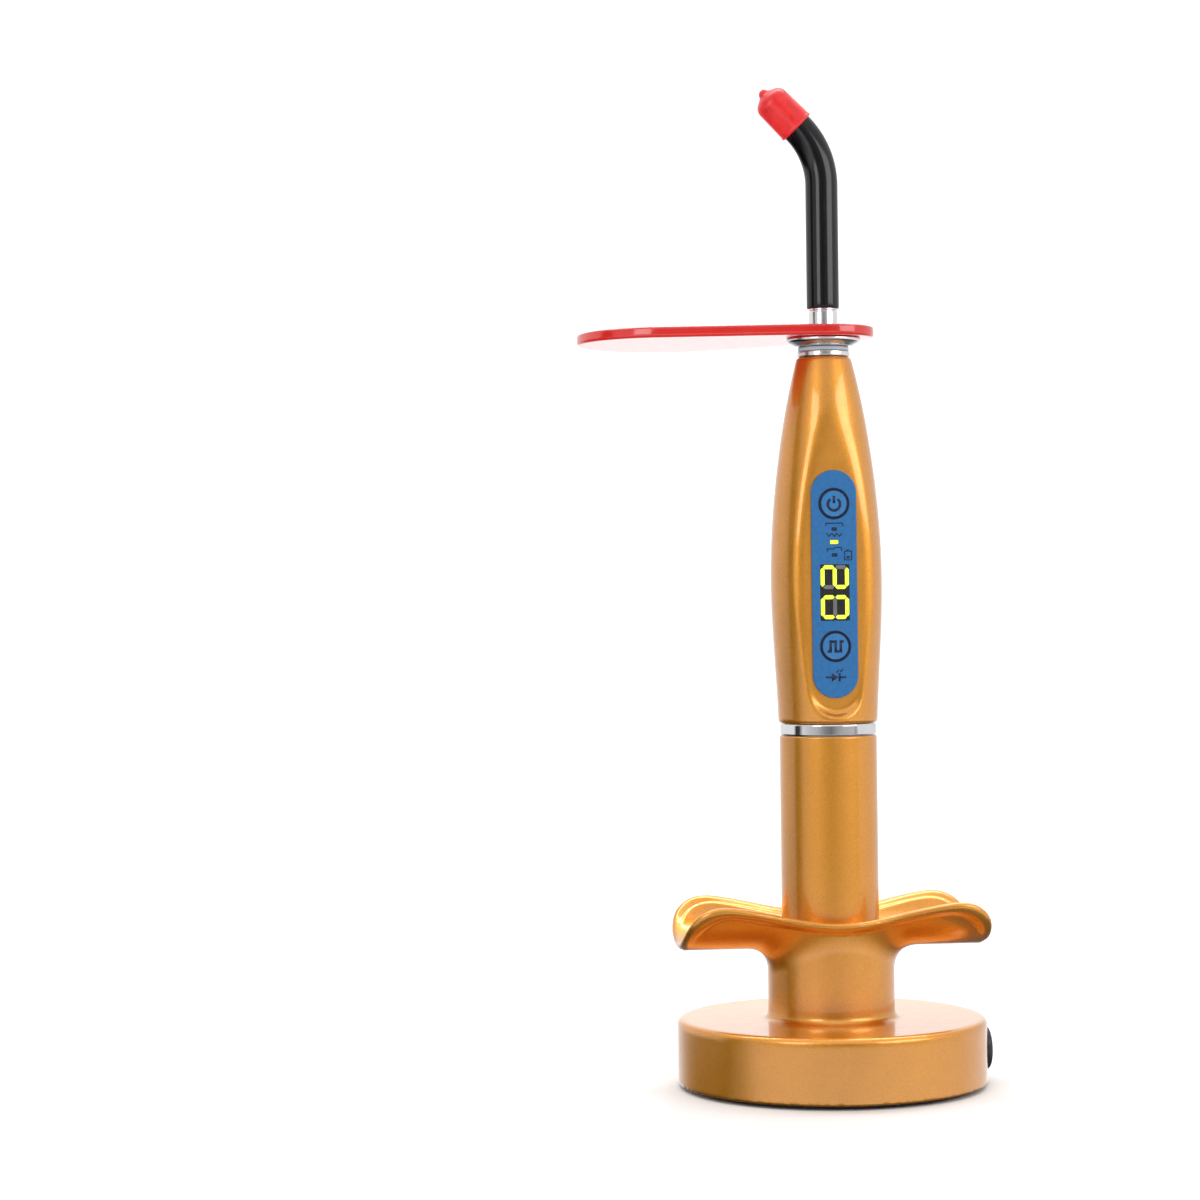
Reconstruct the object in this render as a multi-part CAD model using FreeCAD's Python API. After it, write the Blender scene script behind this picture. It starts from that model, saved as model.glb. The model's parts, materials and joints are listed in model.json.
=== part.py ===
"""Cordless dental curing light standing in its charging stand.

Millimetres, +Z up. The origin is on the table, on the axis that the stand's socket and the handpiece share.
-Y is the front, where the control panel faces, and the light guide bends towards -X.
"""
import FreeCAD, Part
import math
import os

V = FreeCAD.Vector
X, Y, Z = V(1, 0, 0), V(0, 1, 0), V(0, 0, 1)

# ---- driving dimensions: stand ----
BASE_R = 38.0             # round base, outside
BASE_TOP = 16.8           # height of the base's upper face
STAND_WALL = 2.2          # wall of the stand moulding
PAD_T = 1.0               # non-slip pad under everything
PLATE_T = 2.0             # base plate that closes the moulding
COLUMN_R = 15.6
SOCKET_R = 12.3           # bore that the handpiece drops into
SOCKET_FLOOR = 9.5        # height of the socket's floor
FLOOR_T = 1.5
CRADLE_LEN = 76.7         # cradle's length along X
CRADLE_BOTTOM = 34.0      # underside of the cradle
CRADLE_R = 17.0           # outer radius of its half pipe
RIM_HIGH = 46.0           # rim at the cradle's ends
RIM_LOW = 41.4            # rim where it dips beside the handpiece
RIM_HALF_WAVE = 33.0      # from the lowest to the highest point of the rim
JACK_Z = 8.0              # height of the charging inlet
JACK_SEAT_X = 37.0        # spot-face that the inlet's flange sits on
JACK_FACE_X = 39.4        # outer face of that flange
JACK_FLANGE_R = 5.5
SCREW_PCR = 30.0          # circle of the four base screws
SCREW_R = 1.25
BOARD_TOP = 5.6           # upper face of the charging board
BOARD_SCREW_Y = (-8.0, 8.0)
BOARD_SCREW_R = 0.9
PIN_X = (0.0, 5.5)        # centre pin and outer pin
PIN_R = 0.8

# ---- driving dimensions: handpiece ----
HAND_Z = SOCKET_FLOOR + 0.1   # lower end of the handpiece, standing in the socket
TUBE_R = 12.0             # battery tube, outside
SLEEVE_TOP = 86.2
SLEEVE_BORE = 9.85
CONTACT_Z = HAND_Z + 1.0  # charging contacts lie 1 mm inside the end cap
CAP_JOINT_Z = 14.0        # where the end cap meets the battery tube
THREAD_R = 10.8           # joining sleeve, outside
THREAD_Z = 78.0
CELL_R, CELL_LEN, CELL_Z = 9.25, 65.0, 19.0
BAND_H = 2.8
CASING_Z = 89.2           # lower edge of the upper casing
CASING_TOP = 179.2
CASING_WALL = 1.6
CASING_OUTLINE = [(12.2, CASING_Z), (12.62, 98.0), (13.3, 110.0), (13.72, 123.5),
                  (12.78, 143.4), (10.8, 159.2), (8.6, 171.1), (6.65, CASING_TOP)]
NECK_HOLE_R = 8.6         # hole in the casing's lower end
PANEL_Y = -10.3           # flat floor of the recess that holds the control panel
RECESS_END_R = 7.5        # round lower end of the recess
RECESS_END_Z = 98.6
RECESS_LEAN = 8.0         # each side of the recess leans out by this many degrees
RECESS_SOFT = 2.0         # radius between the recess's floor and its wall
OVERLAY_T = 0.6
PANEL_W = 11.2
PANEL_LOW, PANEL_HIGH = 95.5, 151.0
POWER_Z, MODE_Z = 142.8, 108.1      # centres of the two buttons
BUTTON_R = 3.4
DISPLAY_LOW, DISPLAY_HIGH = 114.4, 128.0
DISPLAY_W = 7.2
LIGHT_Z = (136.6, 133.4, 130.3)     # the three mode lights
BOARD_Y = -5.6            # front of the control board

# ---- driving dimensions: light guide ----
GUIDE_R = 4.0             # black sheath, outside: the 8 mm guide
CORE_R = 3.0
FERRULE_R = 3.55
PLUG_Z = 172.1            # lower end of the guide, inside its socket
SHEATH_Z = 191.2          # where the sheath meets the ferrule
BEND_Z = 221.7            # where the guide starts to bend
BEND_R = 20.0
BEND_ANGLE = 45.0
TIP_LEN = 8.5             # straight tip beyond the bend
CAP_R = 4.6
CAP_LEN = 10.4            # to the edge of its domed end
CAP_DOME = [(4.3, 10.4), (3.9, 10.8), (3.1, 11.25), (2.0, 11.85), (1.35, 12.2), (0.9, 12.6), (0.0, 12.8)]
O_RING_Z = (175.0, 178.0)
SOCKET_SHOULDER = 172.0   # floor of the guide's socket
COLLAR_R = 9.1            # bright flange under the shield
SHIELD_Z = 183.9
SHIELD_T = 2.6
SHIELD_HUB_R, SHIELD_END_R, SHIELD_REACH = 12.4, 22.0, 41.0
SHIELD_TURN = -24.5       # how the shield is turned about the guide, from -X


def tube(r_out, r_in, z_low, z_high, at=(0.0, 0.0)):
    """A ring, or a plain cylinder when r_in is 0, standing on Z."""
    place = V(at[0], at[1], z_low)
    body = Part.makeCylinder(r_out, z_high - z_low, place, Z)
    if r_in:
        body = body.cut(Part.makeCylinder(r_in, z_high - z_low, place, Z))
    return body


def rod(radius, start, end):
    """A cylinder from one point to another."""
    a, b = V(*start), V(*end)
    return Part.makeCylinder(radius, (b - a).Length, a, b - a)


def block(x, y, z):
    """A box from three (low, high) pairs."""
    return Part.makeBox(x[1] - x[0], y[1] - y[0], z[1] - z[0], V(x[0], y[0], z[0]))


def spun(outline):
    """A closed (radius, height) outline turned about Z."""
    points = [V(r, 0, z) for r, z in outline + outline[:1]]
    return Part.Face(Part.makePolygon(points)).revolve(V(0, 0, 0), Z, 360)


def stadium(width, low, high, y_front, y_back):
    """An upright slot shape in XZ with round ends, running in depth from y_front back to y_back."""
    r = width / 2.0
    depth = y_back - y_front
    body = block((-r, r), (y_front, y_back), (low + r, high - r))
    for z in (low + r, high - r):
        body = body.fuse(Part.makeCylinder(r, depth, V(0, y_front, z), Y))
    return body.removeSplitter()


def softened(shape, radius, wanted):
    """The shape with the edges that wanted() picks rounded."""
    edges = [e for e in shape.Edges if wanted(e)]
    return shape.makeFillet(radius, edges)


def level(edge, z, r=None):
    """True for an edge lying flat at height z and, if r is given, at that distance from the Z axis."""
    box = edge.BoundBox
    if abs(box.ZMin - z) > 0.01 or abs(box.ZMax - z) > 0.01:
        return False
    return r is None or abs(max(box.XMax, box.YMax) - r) < 0.05


# ---------------------------------------------------------------- stand

def cradle_wave():
    """Everything above the cradle's rim: a wave that dips at the middle and is high near the ends."""
    half = RIM_HALF_WAVE
    mid = (RIM_HIGH + RIM_LOW) / 2.0
    rise = (RIM_HIGH - RIM_LOW) / 2.0
    quarter = half / 2.0
    reach = 60.0

    def crest(side):
        """Arc from the wave's middle height up to its crest."""
        r = (quarter ** 2 + rise ** 2) / (2.0 * rise)
        turn = math.asin(quarter / r) / 2.0
        mid_x = half - r * math.sin(turn)
        mid_z = RIM_HIGH - r * (1.0 - math.cos(turn))
        points = [V(side * quarter, 0, mid), V(side * mid_x, 0, mid_z), V(side * half, 0, RIM_HIGH)]
        return points

    left, right = crest(-1), crest(1)
    edges = [
        Part.makeLine(V(-reach, 0, RIM_HIGH), left[2]),
        Part.Arc(left[2], left[1], left[0]).toShape(),
        Part.Arc(left[0], V(0, 0, RIM_LOW), right[0]).toShape(),
        Part.Arc(right[0], right[1], right[2]).toShape(),
        Part.makeLine(right[2], V(reach, 0, RIM_HIGH)),
        Part.makeLine(V(reach, 0, RIM_HIGH), V(reach, 0, 80)),
        Part.makeLine(V(reach, 0, 80), V(-reach, 0, 80)),
        Part.makeLine(V(-reach, 0, 80), V(-reach, 0, RIM_HIGH)),
    ]
    face = Part.Face(Part.Wire(edges))
    face.translate(V(0, -40, 0))
    return face.extrude(V(0, 80, 0))


def cradle_ends():
    """The cradle's outline seen from the front, with rounded end corners."""
    half = CRADLE_LEN / 2.0
    outline = block((-half, half), (-30, 30), (CRADLE_BOTTOM, RIM_HIGH))
    outline = softened(outline, 4.5, lambda e: level(e, RIM_HIGH) and e.BoundBox.YLength > 50)
    return softened(outline, 1.5, lambda e: level(e, CRADLE_BOTTOM) and e.BoundBox.YLength > 50)


def stand_body():
    half = CRADLE_LEN / 2.0
    axis_z = CRADLE_BOTTOM + CRADLE_R
    pipe = Part.makeCylinder(CRADLE_R, CRADLE_LEN, V(-half, 0, axis_z), X)
    hollow = Part.makeCylinder(CRADLE_R - STAND_WALL, CRADLE_LEN + 2, V(-half - 1, 0, axis_z), X)
    flare_r = 4.0
    flare = spun([(0, CRADLE_BOTTOM - flare_r), (COLUMN_R, CRADLE_BOTTOM - flare_r)]
                 + [(COLUMN_R + flare_r * (1 - math.cos(a)), CRADLE_BOTTOM - flare_r + flare_r * math.sin(a))
                    for a in (math.radians(d) for d in (15, 30, 45, 60, 75, 90))]
                 + [(COLUMN_R + flare_r, CRADLE_BOTTOM + 2), (0, CRADLE_BOTTOM + 2)])
    flare = flare.common(block((-30, 30), (-COLUMN_R + 3.5, COLUMN_R - 3.5), (0, 60)))
    puck = tube(BASE_R, 0, PAD_T, BASE_TOP)
    puck = softened(puck, 1.6, lambda e: level(e, BASE_TOP, BASE_R))
    foot = spun([(0, BASE_TOP - 1), (COLUMN_R + 1.6, BASE_TOP - 1), (COLUMN_R + 1.6, BASE_TOP),
                 (COLUMN_R + 0.5, BASE_TOP + 0.5), (COLUMN_R, BASE_TOP + 1.6), (0, BASE_TOP + 1.6)])
    body = pipe.common(cradle_ends())
    body = body.fuse(tube(COLUMN_R, 0, BASE_TOP, RIM_HIGH))
    body = body.cut(hollow).cut(cradle_wave())
    body = body.fuse(flare.cut(hollow)).fuse(puck).fuse(foot)

    inside = tube(BASE_R - STAND_WALL, 0, PAD_T, BASE_TOP - STAND_WALL)
    inside = inside.cut(tube(COLUMN_R, 0, SOCKET_FLOOR - FLOOR_T, BASE_TOP))
    for angle in (45, 135, 225, 315):
        inside = inside.cut(tube(3.0, 0, PAD_T + PLATE_T, BASE_TOP, around(SCREW_PCR, angle)))
    for y in BOARD_SCREW_Y:
        inside = inside.cut(tube(2.2, 0, BOARD_TOP, BASE_TOP, (0, y)))
    body = body.cut(inside)
    body = body.cut(tube(SOCKET_R, 0, SOCKET_FLOOR, 70))
    for x in PIN_X:
        body = body.cut(tube(PIN_R + 0.1, 0, 5, SOCKET_FLOOR + 1, (x, 0)))
    for angle in (45, 135, 225, 315):
        body = body.cut(tube(SCREW_R, 0, PAD_T, PAD_T + PLATE_T + 7.0, around(SCREW_PCR, angle)))
    for y in BOARD_SCREW_Y:
        body = body.cut(tube(BOARD_SCREW_R, 0, PAD_T, BOARD_TOP + 2.6, (0, y)))
    body = body.cut(rod(4.0, (BASE_R - 6, 0, JACK_Z), (BASE_R + 1, 0, JACK_Z)))
    body = body.cut(rod(JACK_FLANGE_R, (JACK_SEAT_X, 0, JACK_Z), (BASE_R + 1, 0, JACK_Z)))
    return body.removeSplitter()


def around(radius, degrees):
    return radius * math.cos(math.radians(degrees)), radius * math.sin(math.radians(degrees))


def base_plate():
    plate = tube(BASE_R - STAND_WALL - 0.2, 0, PAD_T, PAD_T + PLATE_T)
    for angle in (45, 135, 225, 315):
        at = around(SCREW_PCR, angle)
        plate = plate.cut(tube(SCREW_R, 0, PAD_T, PAD_T + PLATE_T, at))
        plate = plate.cut(tube(2.5, 0, PAD_T, PAD_T + 1.0, at))
    return plate


def base_screws():
    """Four self-tapping screws with flat heads, sunk in the base plate."""
    screws = []
    for angle in (45, 135, 225, 315):
        at = around(SCREW_PCR, angle)
        head = tube(2.3, 0, PAD_T + 0.05, PAD_T + 1.0, at)
        cross = block((at[0] - 1.2, at[0] + 1.2), (at[1] - 0.25, at[1] + 0.25), (PAD_T, PAD_T + 0.6))
        across = block((at[0] - 0.25, at[0] + 0.25), (at[1] - 1.2, at[1] + 1.2), (PAD_T, PAD_T + 0.6))
        shank = tube(SCREW_R - 0.02, 0, PAD_T + 1.0, PAD_T + PLATE_T + 6.0, at)
        screws.append(head.fuse(shank).cut(cross).cut(across))
    return Part.makeCompound(screws)


def non_slip_pad():
    pad = tube(BASE_R - STAND_WALL - 0.5, 0, 0, PAD_T)
    return softened(pad, 0.3, lambda e: level(e, 0))


def ballast_ring():
    """Steel weight inside the base, with a gap for the inlet's wires."""
    ring = tube(25.5, 17.0, PAD_T + PLATE_T, 9.0)
    return ring.cut(block((10, 30), (-4, 4), (0, 20)))


def dc_jack():
    barrel = rod(3.95, (28, 0, JACK_Z), (JACK_SEAT_X, 0, JACK_Z))
    flange = rod(JACK_FLANGE_R - 0.05, (JACK_SEAT_X, 0, JACK_Z), (JACK_FACE_X, 0, JACK_Z))
    front = lambda e: abs(e.BoundBox.XMin - JACK_FACE_X) < 0.01
    flange = softened(flange, 0.8, front)
    mouth = rod(2.8, (30.5, 0, JACK_Z), (41, 0, JACK_Z))
    tail = rod(0.95, (27, 0, JACK_Z), (31, 0, JACK_Z))
    return barrel.fuse(flange).cut(mouth).cut(tail).removeSplitter()


def dc_jack_nut():
    """Hexagon nut that holds the inlet against the wall."""
    corners = [V(32.8, 5.0 * math.cos(a), JACK_Z + 5.0 * math.sin(a))
               for a in (math.radians(60 * k) for k in range(6))]
    nut = Part.Face(Part.makePolygon(corners + corners[:1])).extrude(V(2.6, 0, 0))
    nut = nut.cut(rod(3.95, (32, 0, JACK_Z), (36, 0, JACK_Z)))
    return nut


def dc_jack_pin():
    pin = rod(0.95, (26.0, 0, JACK_Z), (38.0, 0, JACK_Z))
    return softened(pin, 0.5, lambda e: abs(e.BoundBox.XMin - 38.0) < 0.01)


def jack_leads():
    """Two short wires from the inlet, under the socket floor, to the charging board."""
    wires = []
    low = 6.9
    for y, start in ((-2.2, 27.9), (0.0, 25.9)):
        route = [(start, y, JACK_Z), (17.0, y, low), (11.0, y, low), (11.0, y, BOARD_TOP + 0.02)]
        wire = rod(0.7, route[0], route[1])
        for a, b in zip(route[1:], route[2:]):
            wire = wire.fuse(rod(0.7, a, b)).fuse(Part.makeSphere(0.7, V(*a)))
        wires.append(wire.removeSplitter())
    return Part.makeCompound(wires)


def charge_board():
    board = block((-9, 13), (-10.5, 10.5), (BOARD_TOP - 1.2, BOARD_TOP))
    for y in BOARD_SCREW_Y:
        board = board.cut(tube(BOARD_SCREW_R, 0, 4, 6, (0, y)))
    chip = block((-7.5, -3.5), (-3, 3), (BOARD_TOP - 2.0, BOARD_TOP - 1.2))
    return board.fuse(chip)


def board_screws():
    screws = []
    for y in BOARD_SCREW_Y:
        head = tube(1.6, 0, BOARD_TOP - 2.2, BOARD_TOP - 1.2, (0, y))
        shank = tube(BOARD_SCREW_R - 0.02, 0, BOARD_TOP - 1.2, BOARD_TOP + 2.4, (0, y))
        slot = block((-1.4, 1.4), (y - 0.2, y + 0.2), (BOARD_TOP - 2.3, BOARD_TOP - 1.8))
        screws.append(head.fuse(shank).cut(slot))
    return Part.makeCompound(screws)


def pin_holder():
    """Insulating block under the socket floor that carries the two sprung pins."""
    holder = block((-3.0, 8.5), (-3.5, 3.5), (BOARD_TOP, SOCKET_FLOOR - FLOOR_T))
    for x in PIN_X:
        holder = holder.cut(tube(1.4, 0, 5, 9, (x, 0)))
    return holder


def charge_pin(x):
    """Brass plunger with a collar, its round tip just short of the handpiece's contact."""
    tip = CONTACT_Z - 0.05
    shaft = tube(PIN_R, 0, 7.2, tip, (x, 0))
    shaft = softened(shaft, 0.6, lambda e: abs(e.BoundBox.ZMin - tip) < 0.01)
    return shaft.fuse(tube(1.3, 0, 7.2, 7.9, (x, 0)))


def pin_spring(x):
    return tube(1.25, 0.85, BOARD_TOP, 7.2, (x, 0))


# ---------------------------------------------------------------- handpiece, battery end

def end_cap():
    cap = tube(TUBE_R, 0, HAND_Z, CAP_JOINT_Z)
    cap = softened(cap, 1.2, lambda e: level(e, HAND_Z))
    cap = cap.fuse(tube(SLEEVE_BORE - 0.05, 0, CAP_JOINT_Z, 17.0))
    cap = cap.cut(tube(6.9, 0, HAND_Z, CONTACT_Z + 1.2)).cut(tube(2.0, 0, HAND_Z, 14.5))
    return cap.cut(tube(7.5, 0, 14.5, 17.0))


def contact_ring():
    return tube(6.85, 4.3, CONTACT_Z, CONTACT_Z + 1.2)


def contact_insulator():
    return tube(4.25, 2.0, CONTACT_Z - 0.3, CONTACT_Z + 1.2)


def contact_centre():
    return tube(1.95, 0, CONTACT_Z, 14.5).fuse(tube(3.0, 0, 14.5, 15.0))


def battery_spring():
    """Coil spring between the end cap and the cell, as a helix of round wire."""
    wire_r, coil_r, low, high = 0.4, 5.0, 15.45, CELL_Z - 0.45
    helix = Part.makeHelix((high - low) / 3.0, high - low, coil_r)
    helix.translate(V(0, 0, low))
    start = helix.Vertexes[0].Point
    section = Part.Wire(Part.makeCircle(wire_r, start, Y))
    return Part.Wire(helix.Edges).makePipeShell([section], True, True)


def battery_cell():
    cell = tube(CELL_R, 0, CELL_Z, CELL_Z + CELL_LEN - 1.2)
    cell = softened(cell, 0.8, lambda e: True)
    return cell.fuse(tube(4.5, 0, CELL_Z + CELL_LEN - 1.3, CELL_Z + CELL_LEN))


def lower_sleeve():
    sleeve = tube(TUBE_R, SLEEVE_BORE, CAP_JOINT_Z, SLEEVE_TOP)
    sleeve = sleeve.cut(tube(THREAD_R + 0.05, 0, THREAD_Z, SLEEVE_TOP))
    return softened(sleeve, 0.4, lambda e: level(e, SLEEVE_TOP, TUBE_R))


def joining_sleeve():
    """Threaded sleeve that screws the battery tube to the upper casing."""
    top = CASING_Z - 0.1
    body = tube(THREAD_R, 9.6, THREAD_Z + 0.1, top)
    body = body.fuse(tube(THREAD_R, 7.5, top - 1.5, top))
    return body.fuse(tube(NECK_HOLE_R - 0.05, 7.5, top, 96.0)).removeSplitter()


def decor_band():
    band = tube(TUBE_R - 0.1, THREAD_R + 0.05, SLEEVE_TOP + 0.1, SLEEVE_TOP + 0.1 + BAND_H)
    return softened(band, 0.3, lambda e: e.BoundBox.XMax > TUBE_R - 0.2 and e.BoundBox.ZLength < 0.01)


def contact_holder():
    holder = tube(9.5, 0, 84.6, 86.6)
    for x in (-2.5, 2.5):
        holder = holder.cut(tube(0.85, 0, 84.6, 86.6, (x, -3.8)))
    return holder


def battery_contact():
    return tube(4.0, 0, CELL_Z + CELL_LEN + 0.05, 84.6)


def battery_leads():
    return Part.makeCompound([rod(0.75, (x, -3.8, 84.65), (x, -3.8, 103)) for x in (-2.5, 2.5)])


# ---------------------------------------------------------------- handpiece, upper casing

def barrel(offset, low, high):
    """The casing's swelling outline, offset inwards, turned about Z and trimmed between two heights."""
    curve = Part.BSplineCurve()
    curve.interpolate([V(r - offset, 0, z) for r, z in CASING_OUTLINE])
    first, last = CASING_OUTLINE[0], CASING_OUTLINE[-1]
    edges = [
        curve.toShape(),
        Part.makeLine(V(last[0] - offset, 0, last[1]), V(0, 0, last[1])),
        Part.makeLine(V(0, 0, last[1]), V(0, 0, first[1])),
        Part.makeLine(V(0, 0, first[1]), V(first[0] - offset, 0, first[1])),
    ]
    solid = Part.Face(Part.Wire(edges)).revolve(V(0, 0, 0), Z, 360)
    return solid.common(block((-20, 20), (-20, 20), (low, high)))


def panel_recess():
    """Cutter for the recess round the panel: flat floor, round lower end, sides that lean out upwards."""
    lean = math.radians(RECESS_LEAN)
    top = 190.0
    side_x = RECESS_END_R * math.cos(lean)
    side_z = RECESS_END_Z - RECESS_END_R * math.sin(lean)
    top_x = side_x + (top - side_z) * math.tan(lean)
    right, left = V(side_x, 0, side_z), V(-side_x, 0, side_z)
    edges = [
        Part.Arc(left, V(0, 0, RECESS_END_Z - RECESS_END_R), right).toShape(),
        Part.makeLine(right, V(top_x, 0, top)),
        Part.makeLine(V(top_x, 0, top), V(-top_x, 0, top)),
        Part.makeLine(V(-top_x, 0, top), left),
    ]
    face = Part.Face(Part.Wire(edges))
    face.translate(V(0, PANEL_Y, 0))
    cutter = face.extrude(V(0, -15, 0))
    return softened(cutter, RECESS_SOFT, lambda e: abs(e.BoundBox.YMin - PANEL_Y) < 0.01)


def upper_casing():
    outer = barrel(0.0, CASING_Z, CASING_TOP)
    outer = softened(outer, 0.5, lambda e: level(e, CASING_Z) or level(e, CASING_TOP))
    cavity = barrel(CASING_WALL, 91.2, CASING_TOP)
    cavity = cavity.common(block((-20, 20), (PANEL_Y + CASING_WALL, 20), (80, 200)))
    body = outer.cut(panel_recess()).cut(cavity)
    body = body.cut(tube(NECK_HOLE_R, 0, 80, 92))
    return body.cut(stadium(8.4, PANEL_LOW + 2, PANEL_HIGH - 2, -15, -5))


def panel_overlay():
    """Printed panel with two round holes for the buttons, a window for the digits and three light holes."""
    panel = stadium(PANEL_W, PANEL_LOW, PANEL_HIGH, PANEL_Y - OVERLAY_T, PANEL_Y)
    for z in (POWER_Z, MODE_Z):
        panel = panel.cut(rod(BUTTON_R + 0.1, (0, -12, z), (0, -9, z)))
    half = DISPLAY_W / 2.0
    panel = panel.cut(block((-half, half), (-12, -9), (DISPLAY_LOW, DISPLAY_HIGH)))
    for z in LIGHT_Z:
        panel = panel.cut(block((-1.05, 1.05), (-12, -9), (z - 0.6, z + 0.6)))
    return panel


def display_window():
    half = DISPLAY_W / 2.0 - 0.05
    return block((-half, half), (PANEL_Y - OVERLAY_T, PANEL_Y), (DISPLAY_LOW + 0.05, DISPLAY_HIGH - 0.05))


def digit_display():
    half = DISPLAY_W / 2.0 - 0.15
    return block((-half, half), (PANEL_Y + 0.05, BOARD_Y), (DISPLAY_LOW + 0.1, DISPLAY_HIGH - 0.1))


def mode_light_pipes():
    depth = (PANEL_Y - OVERLAY_T - 0.1, BOARD_Y - 0.85)
    pipes = [block((-1.0, 1.0), depth, (z - 0.55, z + 0.55)) for z in LIGHT_Z]
    return Part.makeCompound(pipes)


def mode_leds():
    leds = [block((-1.0, 1.0), (BOARD_Y - 0.8, BOARD_Y), (z - 0.5, z + 0.5)) for z in LIGHT_Z]
    return Part.makeCompound(leds)


def button(z):
    """Round key: a cap slightly proud of the panel, a flange that stops it falling out, and a stem."""
    face = PANEL_Y - OVERLAY_T - 0.15
    cap = rod(BUTTON_R, (0, face, z), (0, PANEL_Y + 0.05, z))
    cap = softened(cap, 0.15, lambda e: abs(e.BoundBox.YMax - face) < 0.01)
    flange = rod(4.0, (0, PANEL_Y + 0.05, z), (0, PANEL_Y + 1.0, z))
    stem = rod(1.5, (0, PANEL_Y + 1.0, z), (0, BOARD_Y - 2.45, z))
    return cap.fuse(flange).fuse(stem)


def tact_switches():
    switches = []
    for z in (POWER_Z, MODE_Z):
        body = block((-2.25, 2.25), (BOARD_Y - 1.6, BOARD_Y), (z - 2.25, z + 2.25))
        switches.append(body.fuse(rod(1.0, (0, BOARD_Y - 2.0, z), (0, BOARD_Y - 1.6, z))))
    return Part.makeCompound(switches)


def control_board():
    return block((-6.1, 6.1), (BOARD_Y, BOARD_Y + 1.0), (99.0, 155.0))


def microcontroller():
    return block((-3.5, 3.5), (BOARD_Y + 1.0, BOARD_Y + 2.0), (122, 129))


def driver_inductor():
    body = block((-2.8, 2.8), (BOARD_Y + 1.0, BOARD_Y + 4.0), (108, 113.6))
    return softened(body, 0.5, lambda e: abs(e.BoundBox.YMin - BOARD_Y - 4.0) < 0.01)


def buzzer():
    low, high = BOARD_Y + 1.0, BOARD_Y + 5.5
    body = rod(4.5, (0, low, 140), (0, high, 140))
    return body.cut(rod(1.0, (0, high - 1.0, 140), (0, high, 140)))


def inner_frame():
    """Plastic frame that holds the control board by its long edges and the heat sink on its upper end."""
    frame = tube(8.4, 5.5, 96.05, 97.6).fuse(tube(8.4, 3.0, 156.6, 158.0))
    for side in (-1, 1):
        x = sorted((side * 6.15, side * 7.6))
        frame = frame.fuse(block(x, (BOARD_Y + 0.1, -3.0), (97.0, 157.0)))
    for x in (-3.8, 3.8):
        frame = frame.cut(tube(0.8, 0, 150, 160, (x, -3.9)))
    return frame.removeSplitter()


# ---------------------------------------------------------------- handpiece, light head

def led_heatsink():
    sink = tube(7.0, 0, 158.05, 166.0)
    for low in (159.2, 161.0, 162.8):
        sink = sink.cut(tube(7.1, 5.6, low, low + 0.9))
    for x in (-3.8, 3.8):
        sink = sink.cut(tube(0.8, 0, 150, 170, (x, -3.9)))
    return sink


def led_leads():
    return Part.makeCompound([rod(0.65, (x, -3.9, 150.0), (x, -3.9, 165.95)) for x in (-3.8, 3.8)])


def led_emitter():
    """Emitter on its round metal board, with a small dome."""
    board = tube(5.6, 0, 166.0, 167.0)
    chip = block((-1.8, 1.8), (-1.8, 1.8), (167.0, 167.6))
    dome = Part.makeSphere(1.5, V(0, 0, 167.4)).common(block((-3, 3), (-3, 3), (167.4, 170)))
    return board.fuse(chip).fuse(dome)


def led_lens():
    """Collecting lens between the emitter and the guide."""
    return spun([(0, 169.2), (1.8, 169.2), (3.25, 171.2), (3.25, 171.8), (0, 171.8)])


def guide_socket():
    """Metal tube that the guide plugs into, standing on the emitter board."""
    body = tube(6.2, 5.62, 166.0, 168.0).fuse(tube(6.2, 3.3, 168.0, 170.0))
    body = body.fuse(tube(4.95, 3.3, 170.0, 182.5))
    body = body.cut(tube(FERRULE_R + 0.1, 0, SOCKET_SHOULDER, 183))
    return body.removeSplitter()


def neck_ring():
    ring = tube(6.5, 5.0, CASING_TOP + 0.05, 180.55)
    return softened(ring, 0.25, lambda e: e.BoundBox.XMax > 6.4 and e.BoundBox.ZLength < 0.01)


def neck_gasket():
    gasket = tube(6.25, 5.0, 180.6, 181.75)
    return softened(gasket, 0.3, lambda e: e.BoundBox.XMax > 6.2 and e.BoundBox.ZLength < 0.01)


def head_collar():
    """Bright flange under the shield, thin at its rim and rounded below."""
    collar = tube(COLLAR_R, 5.0, 181.8, SHIELD_Z - 0.05)
    collar = softened(collar, 1.1, lambda e: level(e, 181.8, COLLAR_R))
    collar = softened(collar, 0.3, lambda e: level(e, SHIELD_Z - 0.05, COLLAR_R))
    return collar.fuse(tube(5.1, FERRULE_R + 0.1, 182.55, SHIELD_Z - 0.05))


# ---------------------------------------------------------------- light guide

def guide_path(low, tip):
    """Centre line: up, round the bend and out along the tip."""
    angle = math.radians(BEND_ANGLE)

    def on_bend(a):
        return V(-BEND_R * (1 - math.cos(a)), 0, BEND_Z + BEND_R * math.sin(a))

    end = on_bend(angle)
    return Part.Wire([
        Part.makeLine(V(0, 0, low), V(0, 0, BEND_Z)),
        Part.Arc(V(0, 0, BEND_Z), on_bend(angle / 2), end).toShape(),
        Part.makeLine(end, end + tip_direction() * tip),
    ])


def tip_direction():
    angle = math.radians(BEND_ANGLE)
    return V(-math.sin(angle), 0, math.cos(angle))


def tip_start():
    angle = math.radians(BEND_ANGLE)
    return V(-BEND_R * (1 - math.cos(angle)), 0, BEND_Z + BEND_R * math.sin(angle))


def guide_rod(radius, low, tip):
    path = guide_path(low, tip)
    section = Part.Wire(Part.makeCircle(radius, V(0, 0, low), Z))
    return path.makePipeShell([section], True, False)


def guide_core():
    return guide_rod(CORE_R, PLUG_Z, TIP_LEN)


def guide_sheath():
    return guide_rod(GUIDE_R, SHEATH_Z, TIP_LEN - 0.2).cut(guide_rod(CORE_R, SHEATH_Z - 5, TIP_LEN + 5))


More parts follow.
